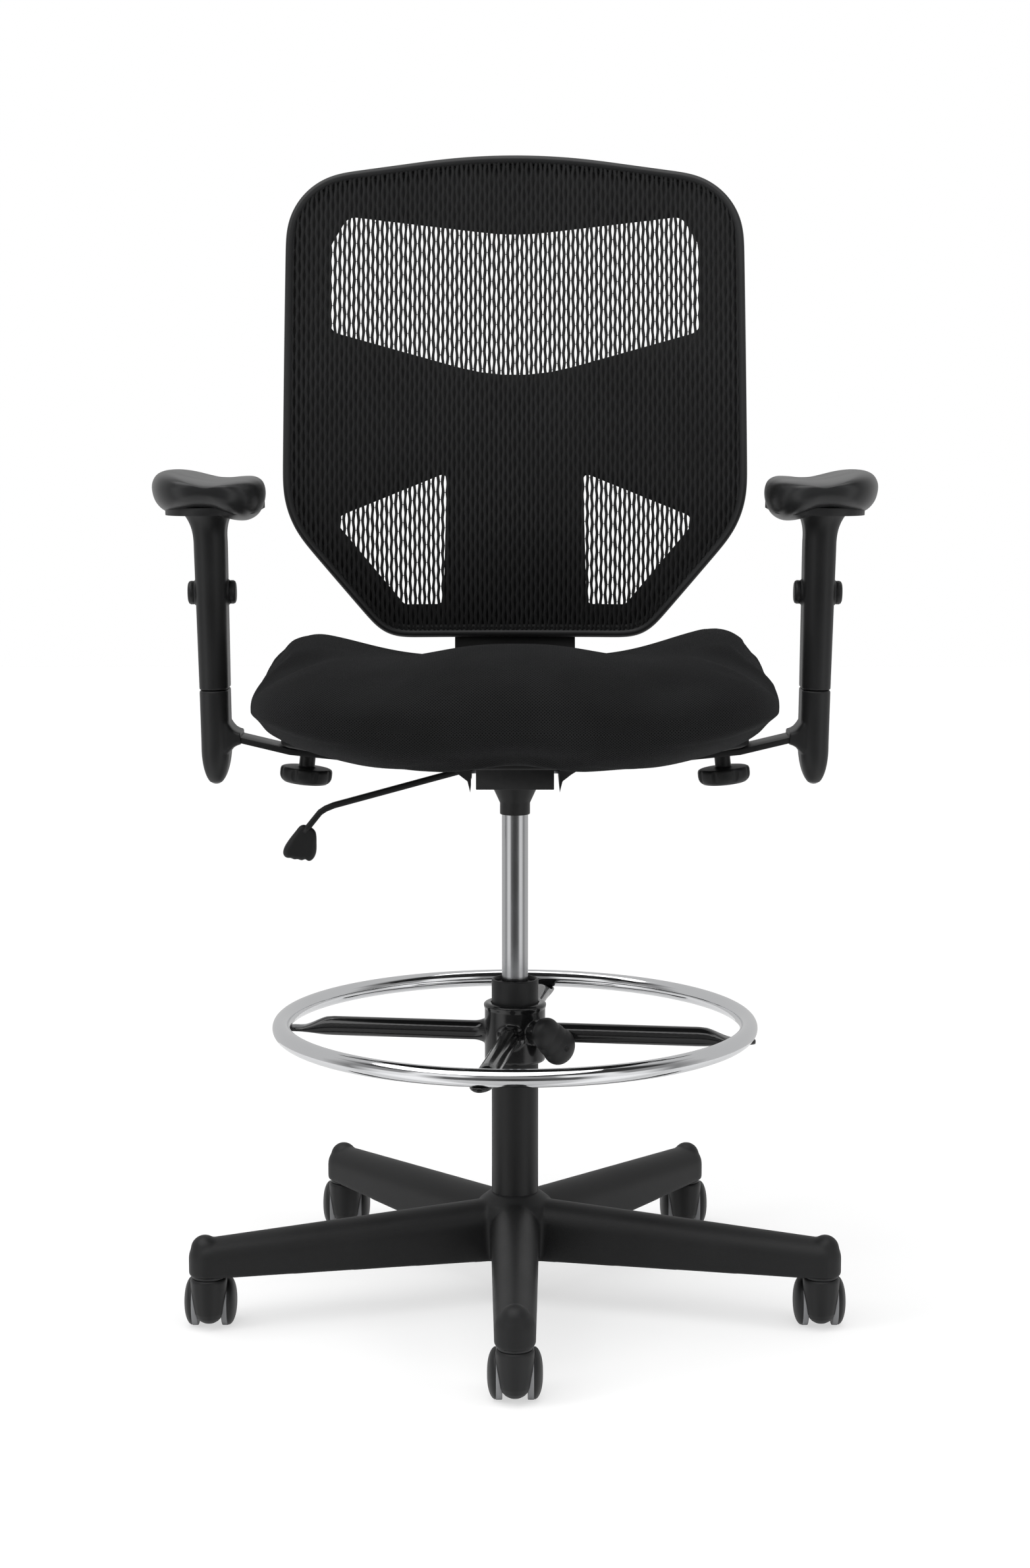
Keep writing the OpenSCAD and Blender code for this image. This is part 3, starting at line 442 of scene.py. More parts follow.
def make_casters():
    top, web = 57.2, 23.8
    bowl = [(0, 7.6), (6, 8.2), (10, 10.6), (13, 14), (15.4, 19), (16.6, 25), (17.3, 30), (18.1, 38), (18.7, 45),
            (19, 51)]
    crown = [(19.1, top - 3.5), (18.6, top - 1.4), (17.4, top - 0.2), (16, top), (0, top)]
    body = revolve(bowl + crown, 64)
    axle = moved(0, TRAIL, WHEEL_D / 2)
    disc = placed(revolve(tube_profile(15, -web / 2, web / 2, 1.5), 48), axle @ turned("Y", 90))
    bridge = loft([[[x * web / 2, y, z] for x, z in ((-1, 25), (1, 25), (1, 52), (-1, 52))] for y in (0, 36)])
    well = revolve(tube_profile(WHEEL_D / 2 + 0.6, 0, 40, 1), 64)
    wells = [placed(well, axle @ turned("Y", 90 * s) @ moved(0, 0, web / 2)) for s in (-1, 1)]
    floor_cut = loft([[[x, y, z] for x, y in ((-40, -40), (40, -40), (40, 80), (-40, 80))] for z in (-10, 6)])
    hood = fused("hood_master", [body, disc, bridge], 0.7, 2, wells + [floor_cut])
    inner = CASTER_W / 2 - WHEEL_W
    r = WHEEL_D / 2
    face = [(r - 0.05, inner + 6.0), (r - 0.5, inner + 6.3)]
    face += [(r * math.cos(a) - 0.3, inner + 6.3 + 8.7 * math.sin(a * 90 / 83)) for a in np.radians(range(6, 82, 5))]
    dish = [(0, inner + 5), (7, inner + 5), (7, inner), (9, inner), (9, inner + 3.5), (r - 6, inner + 3.5),
            (r - 6, inner), (r - 1, inner)]
    tread = [(r - 0.2, inner + 0.3), (r, inner + 1.0), (r, inner + 5.6)]
    wheel = skin("wheel_master", *revolve(dish + tread + face + [(0, inner + 15)], 80))
    wheel.data.materials.append(CASTER_NYLON)
    wheel.data.materials.append(TREAD)
    for p in wheel.data.polygons:
        c, r_mid = p.center, math.hypot(p.center.x, p.center.y)
        p.material_index = 1 if r_mid > (r - 2.5) * MM and c.z < (inner + 5.9) * MM else 0
    for n in range(1, LEGS + 1):
        a = math.radians((n - 1) * 72 - 90)
        at = moved(BASE_R * math.cos(a), BASE_R * math.sin(a), 0)
        piece = copy_at(hood, f"caster_{n}_cover", at)
        finish_piece(piece, f"caster_{n}", "caster_nylon", CASTER_NYLON, f"caster_{n}_hood")
        for side, s in (("left", 1), ("right", -1)):
            piece = copy_at(wheel, f"caster_{n}_{side}_wheel", at @ axle @ turned("Y", 90 * s))
            finish_piece(piece, f"caster_{n}_{side}", "caster_tyre", None, f"caster_{n}_wheel_{side}")
    for ob in (hood, wheel):
        bpy.data.objects.remove(ob)


# ---- foot ring ----

def make_footring():
    rings = []
    for t in np.linspace(0, 2 * math.pi, 240, endpoint=False):
        out = np.array([math.cos(t), math.sin(t), 0])
        rings.append([out * (RING_D / 2 + x) + [0, 0, RING_Z + z] for x, z in oval(RING_TUBE / 2, RING_TUBE / 2, 40)])
    rings.append(rings[0])
    ring = skin("foot_ring", *loft(rings, caps=False))
    finish_piece(ring, "footrest", "chrome", CHROME, "footring")


# The clamp screw's own frame, with Z along the screw
AT_CLAMP = moved(0, 0, RING_Z - 4) @ turned("Z", KNOB_TURN) @ turned("Y", 90)


def make_collar():
    bore, r, low = COLUMN_D / 2 + 0.4, COLLAR_D / 2, COLLAR_TOP - COLLAR_H
    sleeve = revolve([(bore, low), (r - 2.2, low), (r - 1, low + 1.2), (r - 1, COLLAR_TOP - 6.5),
                      (r - 0.2, COLLAR_TOP - 5), (r, COLLAR_TOP - 4), (r, COLLAR_TOP - 2),
                      (r - 1.5, COLLAR_TOP - 0.5), (r - 3, COLLAR_TOP), (bore, COLLAR_TOP)], 96, closed=True)
    parts = [sleeve]
    spoke_z = -SPOKE_D / 2 + 3
    tab_z = -RING_TUBE / 2 - 5 + 0.6
    end = RING_D / 2
    for i in range(4):
        turn = moved(0, 0, RING_Z) @ turned("Z", RING_TURN - 90 + 90 * i)
        rings = []
        for x in np.concatenate([np.linspace(29, 44, 8), np.linspace(60, end - 52, 8),
                                 np.linspace(end - 44, end - 14, 12), np.linspace(end - 8, end + 8, 6)]):
            flat = min(max((x - (end - 50)) / 36, 0), 1)
            flat = flat * flat * (3 - 2 * flat)
            root = max(1 - (x - 29) / 15, 0)
            half_w = SPOKE_D / 2 * (1 + 0.1 * flat) + 5 * root ** 2
            half_h = SPOKE_D / 2 * (1 - flat) + 2.5 * flat + 5 * root ** 2
            if x > end - 8:
                half_w *= math.sqrt(max(1 - ((x - end + 8) / 16.5) ** 2, 0.02))
            z = spoke_z * (1 - flat) + (tab_z + 2.5) * flat
            rings.append([[x, y, z + h] for y, h in oval(half_w, half_h, 28, 2 + 1.5 * flat)])
        parts.append(placed(loft(rings), turn))
    boss = placed(revolve(tube_profile(12, 29, 44, 1), 40), AT_CLAMP)
    collar = fused("foot_ring_collar", parts + [boss], 1.1, 5)
    finish_piece(collar, "footrest", "gloss_steel", ENAMEL, "footring_collar")


def make_ring_knob():
    stud = revolve(tube_profile(4, 26, 48, 0.5), 24)
    neck = revolve([(0, 45), (12, 45), (12.5, 47), (15, 53), (15, 56), (0, 56)], 48)
    parts = [neck, stud]
    for x, y, r in ((12, 12, 20), (-4, -6, 17.5), (4, 3, 18.5)):
        rings = [(max(r * math.cos(a), 0), 58 + 0.66 * r * math.sin(a)) for a in np.radians(range(-90, 91, 10))]
        parts.append(placed(revolve(rings, 48), moved(x, y, 0)))
    dimple = placed(revolve(ball_profile(4, 75, 15), 24), moved(12, 12, 73))
    knob = fused("foot_ring_clamp_knob", [placed(p, AT_CLAMP) for p in parts], 0.8, 8, [placed(dimple, AT_CLAMP)])
    finish_piece(knob, "footrest_clamp", "knob_plastic", KNOB_BLACK, "footring_knob")


# ---- lever ----

def make_lever():
    pivot, bend, tip = np.array([-42.5, 0, 583.0]), np.array([-203.5, 0, 539.0]), np.array([-219.5, 0, 519.0])
    path = [pivot + [30, 0, 0], pivot + [6, 0, 0], pivot + [-8, 0, -2.2]]
    path += [pivot + (bend - pivot) * t for t in np.linspace(0.1, 0.93, 26)]
    path += [bend + [2.4, 0, -0.6], bend + [-3.5, 0, -4.5], bend + (tip - bend) * 0.5, tip, tip + (tip - bend) * 0.3]
    path = np.array(path)
    rings = []
    for i, p in enumerate(path):
        d = path[min(i + 1, len(path) - 1)] - path[max(i - 1, 0)]
        d /= np.linalg.norm(d)
        up = np.cross(d, [0, 1, 0])
        ring = oval(4.6, 3.3, 20, 3.2)
        rings.append([p + np.array([0, 1, 0]) * a * 1.15 + up * b for a, b in ring])
    lever = skin("height_lever_strap", *loft(rings))
    finish_piece(lever, "lever", "black_steel", STEEL_BLACK, "height_lever")
    outline = np.array([(-8, 2.5), (7, 0.5), (11, -6), (13, -14), (16.5, -25), (14, -34), (9.5, -36), (6.5, -33.5),
                        (3, -37.5), (-1.5, -36), (-5, -38.5), (-9.5, -37), (-13, -39), (-18.5, -37), (-20, -29),
                        (-15.5, -16), (-11, -6)], float)
    c = outline.mean(0)
    rings = []
    for depth, inset in ((-8.5, 0.62), (-7.2, 0.86), (-4.5, 0.97), (0, 1.0), (4.5, 0.97), (7.2, 0.86), (8.5, 0.62)):
        rings.append([[c[0] + (x - c[0]) * inset, depth * (0.62 + 0.38 * min(max(-z / 22, 0), 1)),
                       c[1] + (z - c[1]) * inset] for x, z in outline])
    grip = skin("height_lever_grip", *placed(loft(rings), moved(*tip) @ turned("Y", 16)))
    smooth = grip.modifiers.new("round", "SUBSURF")
    smooth.levels = smooth.render_levels = 3
    apply_modifiers(grip)
    finish_piece(grip, "lever", "knob_plastic", KNOB_BLACK, "height_lever_knob")


# ---- seat ----

def smooth_step(low, high, v):
    t = min(max((v - low) / (high - low), 0), 1)
    return t * t * (3 - 2 * t)


def cushion_top(x, y):
    """Height of the seat's upper surface: side bolsters, dips beside the middle and a crown at the front."""
    bolster = math.exp(-((abs(x) - 232) / (95 if abs(x) < 232 else 120)) ** 2)
    front = smooth_step(20, -150, y)
    crown = math.exp(-(abs(x) / 118) ** 2.6)
    rear = smooth_step(60, 170, y)
    height = 37.5 + (3.5 if x > 0 else -3.5)
    return (689 + height * bolster * (1 - 0.5 * front) + 33 * crown * front + 5 * crown * (1 - front)
            + 5 * front - 5 * rear)


def cushion_bottom(x):
    """Height of the seat's lower edge, which rises a little in the middle and a lot towards the sides."""
    return 601.5 + 9 * math.exp(-(x / 48) ** 2) + 0.019 * max(abs(x) - 110, 0) ** 1.5


def make_cushion():
    """The seat cushion: rings in the YZ plane at stations across the seat, blown up a little as cloth."""
    around, across = 120, 85
    low_y, high_y, half_w, start, middle = -260, 185, 282.5, 4.5, 656
    turn = np.linspace(0, 2 * math.pi, around, endpoint=False)
    stations = np.sin(np.linspace(-math.pi / 2, math.pi / 2, across + 2)[1:-1])
    yc, half_l = (low_y + high_y) / 2, (high_y - low_y) / 2 - start
    verts = []
    for t in stations:
        x = t * (half_w - start)
        plan = (1 - abs(t) ** 4.0) ** (1 / 3.4)
        swell = math.sqrt(1 - (max(abs(x) - 200, 0) / (half_w - start - 200)) ** 2)
        bottom = cushion_bottom(x) + start
        for a in turn:
            c, s = math.cos(a), math.sin(a)
            if s >= 0:
                y = yc + half_l * plan * signed_power(c, 0.74)
                z = middle + (cushion_top(x, y) - start - middle) * swell * s ** 0.78
            else:
                y = yc + half_l * plan * signed_power(c, 0.42)
                z = middle - (middle - bottom) * swell * abs(s) ** 0.5
                under = smooth_step(-0.93, -1.0, s)
                z += under * 3
            verts.append((x, float(y), z))
    rings = np.array(verts).reshape(across, around, 3)
    ob = skin("seat_cushion_cover", *loft(rings))
    lay_fabric(ob, rings)
    inflate(ob, 0.007, 0.61)
    more = ob.modifiers.new("finer", "SUBSURF")
    more.levels = more.render_levels = 1
    apply_modifiers(ob)
    finish_piece(ob, "seat", "seat_fabric", SEAT_FABRIC, "seat_cushion")


def make_pan():
    """The pan: a tray whose outline narrows to a nose, with a sloping pad over each arm bar."""
    rear, side_y, front, side_x, nose_x = 151, 12, -178, 250, 112
    marks = [((side_x, rear), 60), ((-side_x, rear), 60), ((-side_x, side_y), 60), ((-nose_x, front), 45),
             ((nose_x, front), 45), ((side_x, side_y), 60)]
    outline = np.array([p for i, (place, r) in enumerate(marks)
                        for p in corner(marks[i - 1][0], place, marks[(i + 1) % len(marks)][0], r, 8)])
    rings = [np.column_stack([outline * inset, np.full(len(outline), PAN_Z + z)])
             for z, inset in ((0, 0.985), (0.6, 0.993), (2, 1.0), (10.5, 1.0), (12, 0.99))]
    parts = [loft(rings)]
    for s in (-1, 1):
        block = [[[x, y, z] for x, y in ((-46, -27), (6, -27), (6, 27), (-46, 27))] for z in (BAR_T / 2 + 0.3, 12)]
        parts.append(placed(loft(block), at_bar(s)))
    pan = fused("seat_pan_tray", parts, 1.6, 2)
    finish_piece(pan, "seat", "pan_plastic", PAN_BLACK, "seat_pan")


def inflate(ob, cap, pin_below):
    """Blows a closed cover up as cloth under pressure, with its lowest part held, and caps how far it moves."""
    rest = np.array([v.co for v in ob.data.vertices])
    held = ob.vertex_groups.new(name="held")
    held.add([i for i, p in enumerate(rest) if p[2] < pin_below], 1.0, "ADD")
    cloth = ob.modifiers.new("cloth", "CLOTH")
    cloth.settings.use_pressure = True
    cloth.settings.uniform_pressure_force = 4
    cloth.settings.effector_weights.gravity = 0
    cloth.settings.vertex_group_mass = "held"
    cloth.settings.quality = 5
    cloth.point_cache.frame_start, cloth.point_cache.frame_end = 1, 20
    for f in range(1, 21):
        SCENE.frame_set(f)
    graph = bpy.context.evaluated_depsgraph_get()
    blown = np.array([v.co for v in ob.evaluated_get(graph).data.vertices])
    ob.modifiers.clear()
    ob.vertex_groups.clear()
    SCENE.frame_set(1)
    step = blown - rest
    length = np.linalg.norm(step, axis=1)
    step *= (np.minimum(length, cap) / np.maximum(length, 1e-9))[:, None]
    ob.data.vertices.foreach_set("co", (rest + step).ravel())
    ob.data.update()


def lay_fabric(ob, rings):
    """Stores how far across and along the cloth each point lies, in millimetres."""
    n, m = rings.shape[:2]
    front = rings[:, m // 2]
    across = np.concatenate([[0], np.cumsum(np.linalg.norm(np.diff(front, axis=0), axis=1))])
    across -= across.mean()
    steps = np.linalg.norm(np.roll(rings, -1, axis=1) - rings, axis=2)
    along = np.concatenate([np.zeros((n, 1)), np.cumsum(steps, axis=1)[:, :-1]], axis=1)
    along -= along[:, m // 2][:, None]
    for name, values in (("across", np.repeat(across, m)), ("along", along.ravel())):
        layer = ob.data.attributes.new(name, "FLOAT", "POINT")
        layer.data.foreach_set("value", values.astype(np.float32))


# ---- arms ----

def at_arm(side):
    m = moved(ARM_X, ARM_Y, SPLIT_Z) @ turned("Y", ARM_LEAN)
    return m if side > 0 else Matrix.Scale(-1, 4, (1, 0, 0)) @ m


def at_bar(side):
    m = moved(KNOB_X, ARM_Y, BAR_Z) @ turned("Y", -BAR_SLOPE)
    return m if side > 0 else Matrix.Scale(-1, 4, (1, 0, 0)) @ m


def arm_width(z):
    """The upright tapers a little towards its lower end."""
    return np.interp(z, [-60, 0, 150], [ARM_W - 3.4, ARM_W - 3, ARM_W])


def arm_sections(stations):
    rings = []
    for z, grow_x, grow_y, shift in stations:
        w, l = arm_width(z) + grow_x, ARM_L + grow_y
        rings.append([[x + shift, y, z] for x, y in capsule(w, l, 56)])
    return rings


def at_button(face):
    """A button's own frame inside the arm's, with Z pointing out of the arm."""
    return moved(0, 0, BUTTON_H) @ turned("Y", 90 * face)


def make_sleeve():
    flare = [(NECK_TOP - 34 + 32 * t, 18 * t ** 2.6, 26 * t ** 2.6, 1.5 * t) for t in np.linspace(0, 1, 12)]
    straight = [(z, 0, 0, 0) for z in np.linspace(2, NECK_TOP - 36, 24)]
    stations = [(0.3, -2, -2, 0), (1.1, -0.4, -0.4, 0)] + straight + flare + [(NECK_TOP, 18, 26, 1.5)]
    parts = [loft(arm_sections(stations))]
    for s in (-1, 1):
        boss = revolve([(0, 0), (BUTTON_D / 2 + 4.5, 0), (BUTTON_D / 2 + 3, 5), (BUTTON_D / 2 + 1.2, 8.5),
                        (BUTTON_D / 2 + 0.8, 9.2), (0, 9.2)], 48)
        parts.append(placed(boss, at_button(s) @ moved(0, 0, ARM_W / 2 - 7)))
    well = revolve(tube_profile(BUTTON_D / 2 + 0.5, ARM_W / 2 - 1.5, ARM_W, 0.3), 48)
    wells = [placed(well, at_button(s)) for s in (-1, 1)]
    return fused("sleeve_master", parts, 1.0, 4, wells)


def make_socket():
    low = -103
    stations = [(low + 0.4, -26, -50, 1.5), (low + 1.6, -21, -44, 1.4)]
    for t in np.linspace(0.08, 1, 16):
        k = math.sqrt(1 - (1 - t) ** 2.1)
        stations.append((low + 44 * t, -(ARM_W - 6) * (1 - k), -(ARM_L - 8) * (1 - k), 1.2 * (1 - t)))
    stations += [(z, 0, 0, 0) for z in np.linspace(-57, -2, 14)] + [(-1.0, -0.5, -0.5, 0), (-0.3, -2, -2, 0)]
    lip = []
    for x, half_y, lo, hi in ((-10, 26, -72, -28), (-14, 26, -69, -33), (-17, 25.5, -65.5, -38),
                              (-20, 25.2, -62, -42), (-24, 25, -60, -44.5), (-27.5, 25, -59, -45.5)):
        mid, half_z = (lo + hi) / 2, (hi - lo) / 2
        lip.append([[x, y, mid + z] for y, z in oval(half_y, half_z, 40, 5)])
    return fused("socket_master", [loft(arm_sections(stations)), loft(lip)], 1.0, 4)


def pad_rings():
    """Rings of an arm pad from front to rear; x grows towards the outside."""
    section = np.array([(56.5, -4), (55.5, 6), (49.5, 13.5), (38, 15.5), (22, 11), (4, 6.2), (-14, 5), (-30, 6.2),
                        (-44, 5.8), (-53, 0.5), (-56.5, -9), (-56, -20), (-51.5, -31), (-42, -37), (-28, -36.5),
                        (-10, -31.5), (10, -29.5), (30, -29), (44, -25.5), (53, -16)], float)
    n = len(section)
    fine = []
    for i in range(n):
        a, b, c, d = (section[(i + k) % n] for k in (-1, 0, 1, 2))
        for t in np.linspace(0, 1, 4, endpoint=False):
            fine.append(0.5 * (2 * b + (c - a) * t + (2 * a - 5 * b + 4 * c - d) * t * t
                               + (3 * b - a - 3 * c + d) * t ** 3))
    fine = np.array(fine)
    rings = []
    for t in np.sin(np.linspace(-math.pi / 2, math.pi / 2, 46)[1:-1]):
        e = (1 - abs(t) ** 3.2) ** (1 / 3.2)
        ez = (1 - abs(t) ** 3.0) ** (1 / 2.4)
        bend = 6 * t * t
        rear = min(max(t, 0), 1)
        for_x = e * (1 - 0.1 * rear)
        ring = [[x * for_x - bend, t * PAD_L / 2, z * ez * (1 - 0.12 * rear)] for x, z in fine]
        rings.append(ring)
    return rings


def make_pad(side, name):
    rings = np.array(pad_rings())
    ob = skin(name, *placed(loft(rings), at_arm(side) @ moved(PAD_SHIFT, -PAD_FORWARD, NECK_TOP + 8 + 20.5)))
    more = ob.modifiers.new("finer", "SUBSURF")
    more.levels = more.render_levels = 1
    apply_modifiers(ob)
    return ob


def make_arms():
    sleeve, socket = make_sleeve(), make_socket()
    r = BUTTON_D / 2
    button = skin("button_master", *revolve([(0, 0), (11, 0), (r, 0.6), (r + 0.6, 2.2), (r + 0.6, 5.2), (r - 0.4, 7),
                                            (r - 2.4, 7.9), (6, 8.2), (0, 8.3)], 64))
    head = 17
    rim = KNOB_D / 2
    dish = [(0, 1.5), (rim - 12, 1.2), (rim - 8, 0), (rim - 5, 0.6), (rim - 2, 3), (rim - 0.4, 6), (rim, 9),
            (rim, head - 3), (rim - 0.8, head - 1), (rim - 3, head), (9.5, head + 0.6), (8.5, head + 2),
            (8.5, head + 14), (0, head + 14)]
    scallop = revolve(tube_profile(7, -5, 19, 0.5), 32)
    around = [math.radians(i * 45 + 22.5) for i in range(8)]
    scallops = [placed(scallop, moved((rim + 5.2) * math.cos(a), (rim + 5.2) * math.sin(a), 0)) for a in around]
    knob = fused("knob_master", [revolve(dish, 96)], 0.8, 4, [merged(scallops)])
    for side, s in (("left", 1), ("right", -1)):
        for master, label, body in ((sleeve, "arm_sleeve", "rest"), (socket, "arm_socket", "arm")):
            piece = copy_at(master, f"{side}_{label}_shell", at_arm(s))
            finish_piece(piece, f"{side}_{body}", "arm_plastic", ARM_BLACK, f"{side}_{label}")
        for face, f in (("in", -1), ("out", 1)):
            seat = at_arm(s) @ at_button(f) @ moved(0, 0, ARM_W / 2 + 0.6)
            piece = copy_at(button, f"{side}_button_{face}_cap", seat)
            finish_piece(piece, f"{side}_button_{face}", "arm_plastic", ARM_BLACK, f"{side}_arm_button_{face}")
        piece = copy_at(knob, f"{side}_width_knob", at_bar(s) @ moved(0, 0, -BAR_T / 2 - 0.3 - 14 - head))
        finish_piece(piece, f"{side}_knob", "knob_plastic", KNOB_BLACK, f"{side}_arm_knob")
        pad = make_pad(s, f"{side}_arm_pad_skin")
        finish_piece(pad, f"{side}_rest", "pad_urethane", PAD_BLACK, f"{side}_arm_pad")
    for ob in (sleeve, socket, button, knob):
        bpy.data.objects.remove(ob)


# ---- back ----

def bow(h):
    t = (h - 117) / 416
    return 200 * t * t if t < 0 else 78 * t ** 1.4


def back_y(x, z, depth):
    """The depth of the back's curved surface at a place in its front view."""
    return LUMBAR_Y - BACK_R + math.sqrt((BACK_R + bow(z - BACK_Z) + depth) ** 2 - x * x)


def corner(a, b, c, radius, steps):
    """Points round the corner b between a and c."""
    p = np.array(b, float)
    u, v = np.array(a, float) - p, np.array(c, float) - p
    u, v = u / np.linalg.norm(u), v / np.linalg.norm(v)
    half = math.acos(float(u @ v)) / 2
    mid = p + (u + v) / np.linalg.norm(u + v) * radius / math.sin(half)
    first, last = p + u * radius / math.tan(half) - mid, p + v * radius / math.tan(half) - mid
    start = math.atan2(first[1], first[0])
    sweep = (math.atan2(last[1], last[0]) - start + math.pi) % (2 * math.pi) - math.pi
    angles = [start + sweep * i / steps for i in range(steps + 1)]
    return [mid + radius * np.array([math.cos(a), math.sin(a)]) for a in angles]


def back_outline(m, count=320):
    """Evenly spaced points of the back's outline in [x, z], drawn in by a margin."""
    x, shoulder, waist = BACK_W / 2, BACK_Z + BACK_H - 29, BACK_Z + 136
    marks = [(0, BACK_Z + BACK_H + 7 - m, 700), (x - 3 - m, shoulder - m, 75 - m), (x - m, waist + m * 0.37, 110 - m),
             (x - 111 - m * 0.47, BACK_Z + m, 40 - m), (-x + 111 + m * 0.47, BACK_Z + m, 40 - m),
             (-x + m, waist + m * 0.37, 110 - m), (-x + 3 + m, shoulder - m, 75 - m)]
    points = []
    for i, mark in enumerate(marks):
        points += corner(marks[i - 1][:2], mark[:2], marks[(i + 1) % len(marks)][:2], mark[2], 16)
    points = np.array(points + [points[0]])
    run = np.concatenate([[0], np.cumsum(np.linalg.norm(np.diff(points, axis=0), axis=1))])
    at = np.linspace(0, run[-1], count, endpoint=False)
    points = np.stack([np.interp(at, run, points[:, k]) for k in (0, 1)], 1)
    for _ in range(6):
        points = (np.roll(points, 1, 0) + 2 * points + np.roll(points, -1, 0)) / 4
    return points


def make_back_frame():
    path = back_outline(FRAME_W / 2)
    tangent = np.roll(path, -1, 0) - np.roll(path, 1, 0)
    tangent /= np.linalg.norm(tangent, axis=1)[:, None]
    inward = np.stack([tangent[:, 1], -tangent[:, 0]], 1)
    if ((path.mean(0) - path[0]) @ inward[0]) < 0:
        inward = -inward
    half = FRAME_W / 2
    section = [(-half + 0.4, 3.2), (-half + 1.4, 1.2), (-half + 3.2, 0.1), (-0.6, -0.1), (1.4, 0.6),
               (half - 2.2, 1.9), (half - 1.4, 3.0), (half - 0.9, 3.9), (half, 4.6), (half, 13.2), (half + 4.5, 13.4),
               (half + 4.5, FRAME_T - 1.8), (half + 3.8, FRAME_T - 1.2), (0, FRAME_T), (-half + 2.4, FRAME_T - 0.8),
               (-half + 0.6, FRAME_T - 3), (-half, FRAME_T - 6), (-half, 6)]
    rings = []
    for p, q in zip(path, inward):
        ring = []
        for off, depth in section:
            x, z = p + q * off
            ring.append([x, back_y(x, z, depth), z])
        rings.append(ring)
    rings.append(rings[0])
    ob = skin("back_edge_frame", *loft(rings, caps=False))
    more = ob.modifiers.new("finer", "SUBSURF")
    more.levels = more.render_levels = 1
    apply_modifiers(ob)
    finish_piece(ob, "back", "back_plastic", BACK_BLACK, "back_frame")


def outline_area(points):
    x, z = points[:, 0], points[:, 1]
    return abs(float(np.sum(x * np.roll(z, -1) - np.roll(x, -1) * z))) / 2


# The net's area inside the frame, in square metres
NET_AREA = outline_area(back_outline(FRAME_W - 3)) * MM * MM


def make_net():
    """The stretched net: upright strands whose edges wave so that almond holes open between them."""
    pitch, period, per_wave = 5.15, 19.5, 8
    edge = back_outline(FRAME_W - 3, 400)
    columns = int(BACK_W / pitch / 2)
    net_depth = 2.6
    drift = np.cumsum(np.random.default_rng(7).normal(0.02, 0.075, 2 * columns + 1))
    verts, faces = [], []

    def span(x):
        lows, highs = [], []
        for a, b in zip(edge, np.roll(edge, -1, 0)):
            if (a[0] - x) * (b[0] - x) <= 0 and a[0] != b[0]:
                z = a[1] + (b[1] - a[1]) * (x - a[0]) / (b[0] - a[0])
                (lows if z < BACK_Z + 250 else highs).append(z)
        return (min(lows), max(highs)) if lows and highs else None

    def phase(k, z):
        sway = 0.06 * math.sin(z / 61 + k * 0.4) + 0.03 * math.sin(z / 23 + k * 1.7)
        return (k % 2) * 0.5 + drift[k + columns] + sway

    def hole(k, z):
        wave = 0.5 + 0.5 * math.cos(2 * math.pi * (z / period + phase(k, z)))
        return pitch * (0.075 + 0.2 * wave ** 0.85)

    step = period / per_wave
    rows = [BACK_Z + i * step for i in range(int(BACK_H / step) + 2)]
    for k in range(-columns, columns):
        mid = (k + 0.5) * pitch
        ends = span(mid)
        if ends is None:
            continue
        heights = [ends[0]] + [z for z in rows if ends[0] + 1 < z < ends[1] - 1] + [ends[1]]
        base = len(verts)
        for z in heights:
            left, right = k * pitch + hole(k, z), (k + 1) * pitch - hole(k + 1, z)
            centre = (left + right) / 2
            for x, d in ((left, 0.35), (centre, -0.35), (right, 0.35), (centre, 0.9)):
                verts.append((x, back_y(x, z, net_depth + d), z))
        for i in range(len(heights) - 1):
            for j in range(4):
                a, b = base + i * 4 + j, base + i * 4 + (j + 1) % 4
                faces.append((a, b, b + 4, a + 4))
        faces += [tuple(base + j for j in range(4)), tuple(base + (len(heights) - 1) * 4 + j for j in range(4))]
    for r in range(int(BACK_H / (period / 2)) + 2):
        for k in range(-columns + 1, columns):
            z = BACK_Z + (r + 0.5) * period
            z -= ((z / period + phase(k, z)) % 1 - 0.5) * period
            x = k * pitch
            ends = span(x)
            if ends is None or not ends[0] + 3 < z < ends[1] - 3 or r * period > BACK_H + 60:
                continue
            base = len(verts)
            for dx in (-1.3, 1.3):
                for dz, d in ((-0.35, 0.5), (0, 0.15), (0.35, 0.5), (0, 0.8)):
                    verts.append((x + dx, back_y(x + dx, z, net_depth + d), z + dz))
            for j in range(4):
                faces.append((base + j, base + (j + 1) % 4, base + 4 + (j + 1) % 4, base + 4 + j))
            faces += [tuple(base + j for j in range(4)), tuple(base + 4 + j for j in range(4))]
    ob = skin("back_net", verts, faces)
    finish_piece(ob, "back", "back_fabric", BACK_NET, "back_mesh")
    return ob


# ---- the scene ----

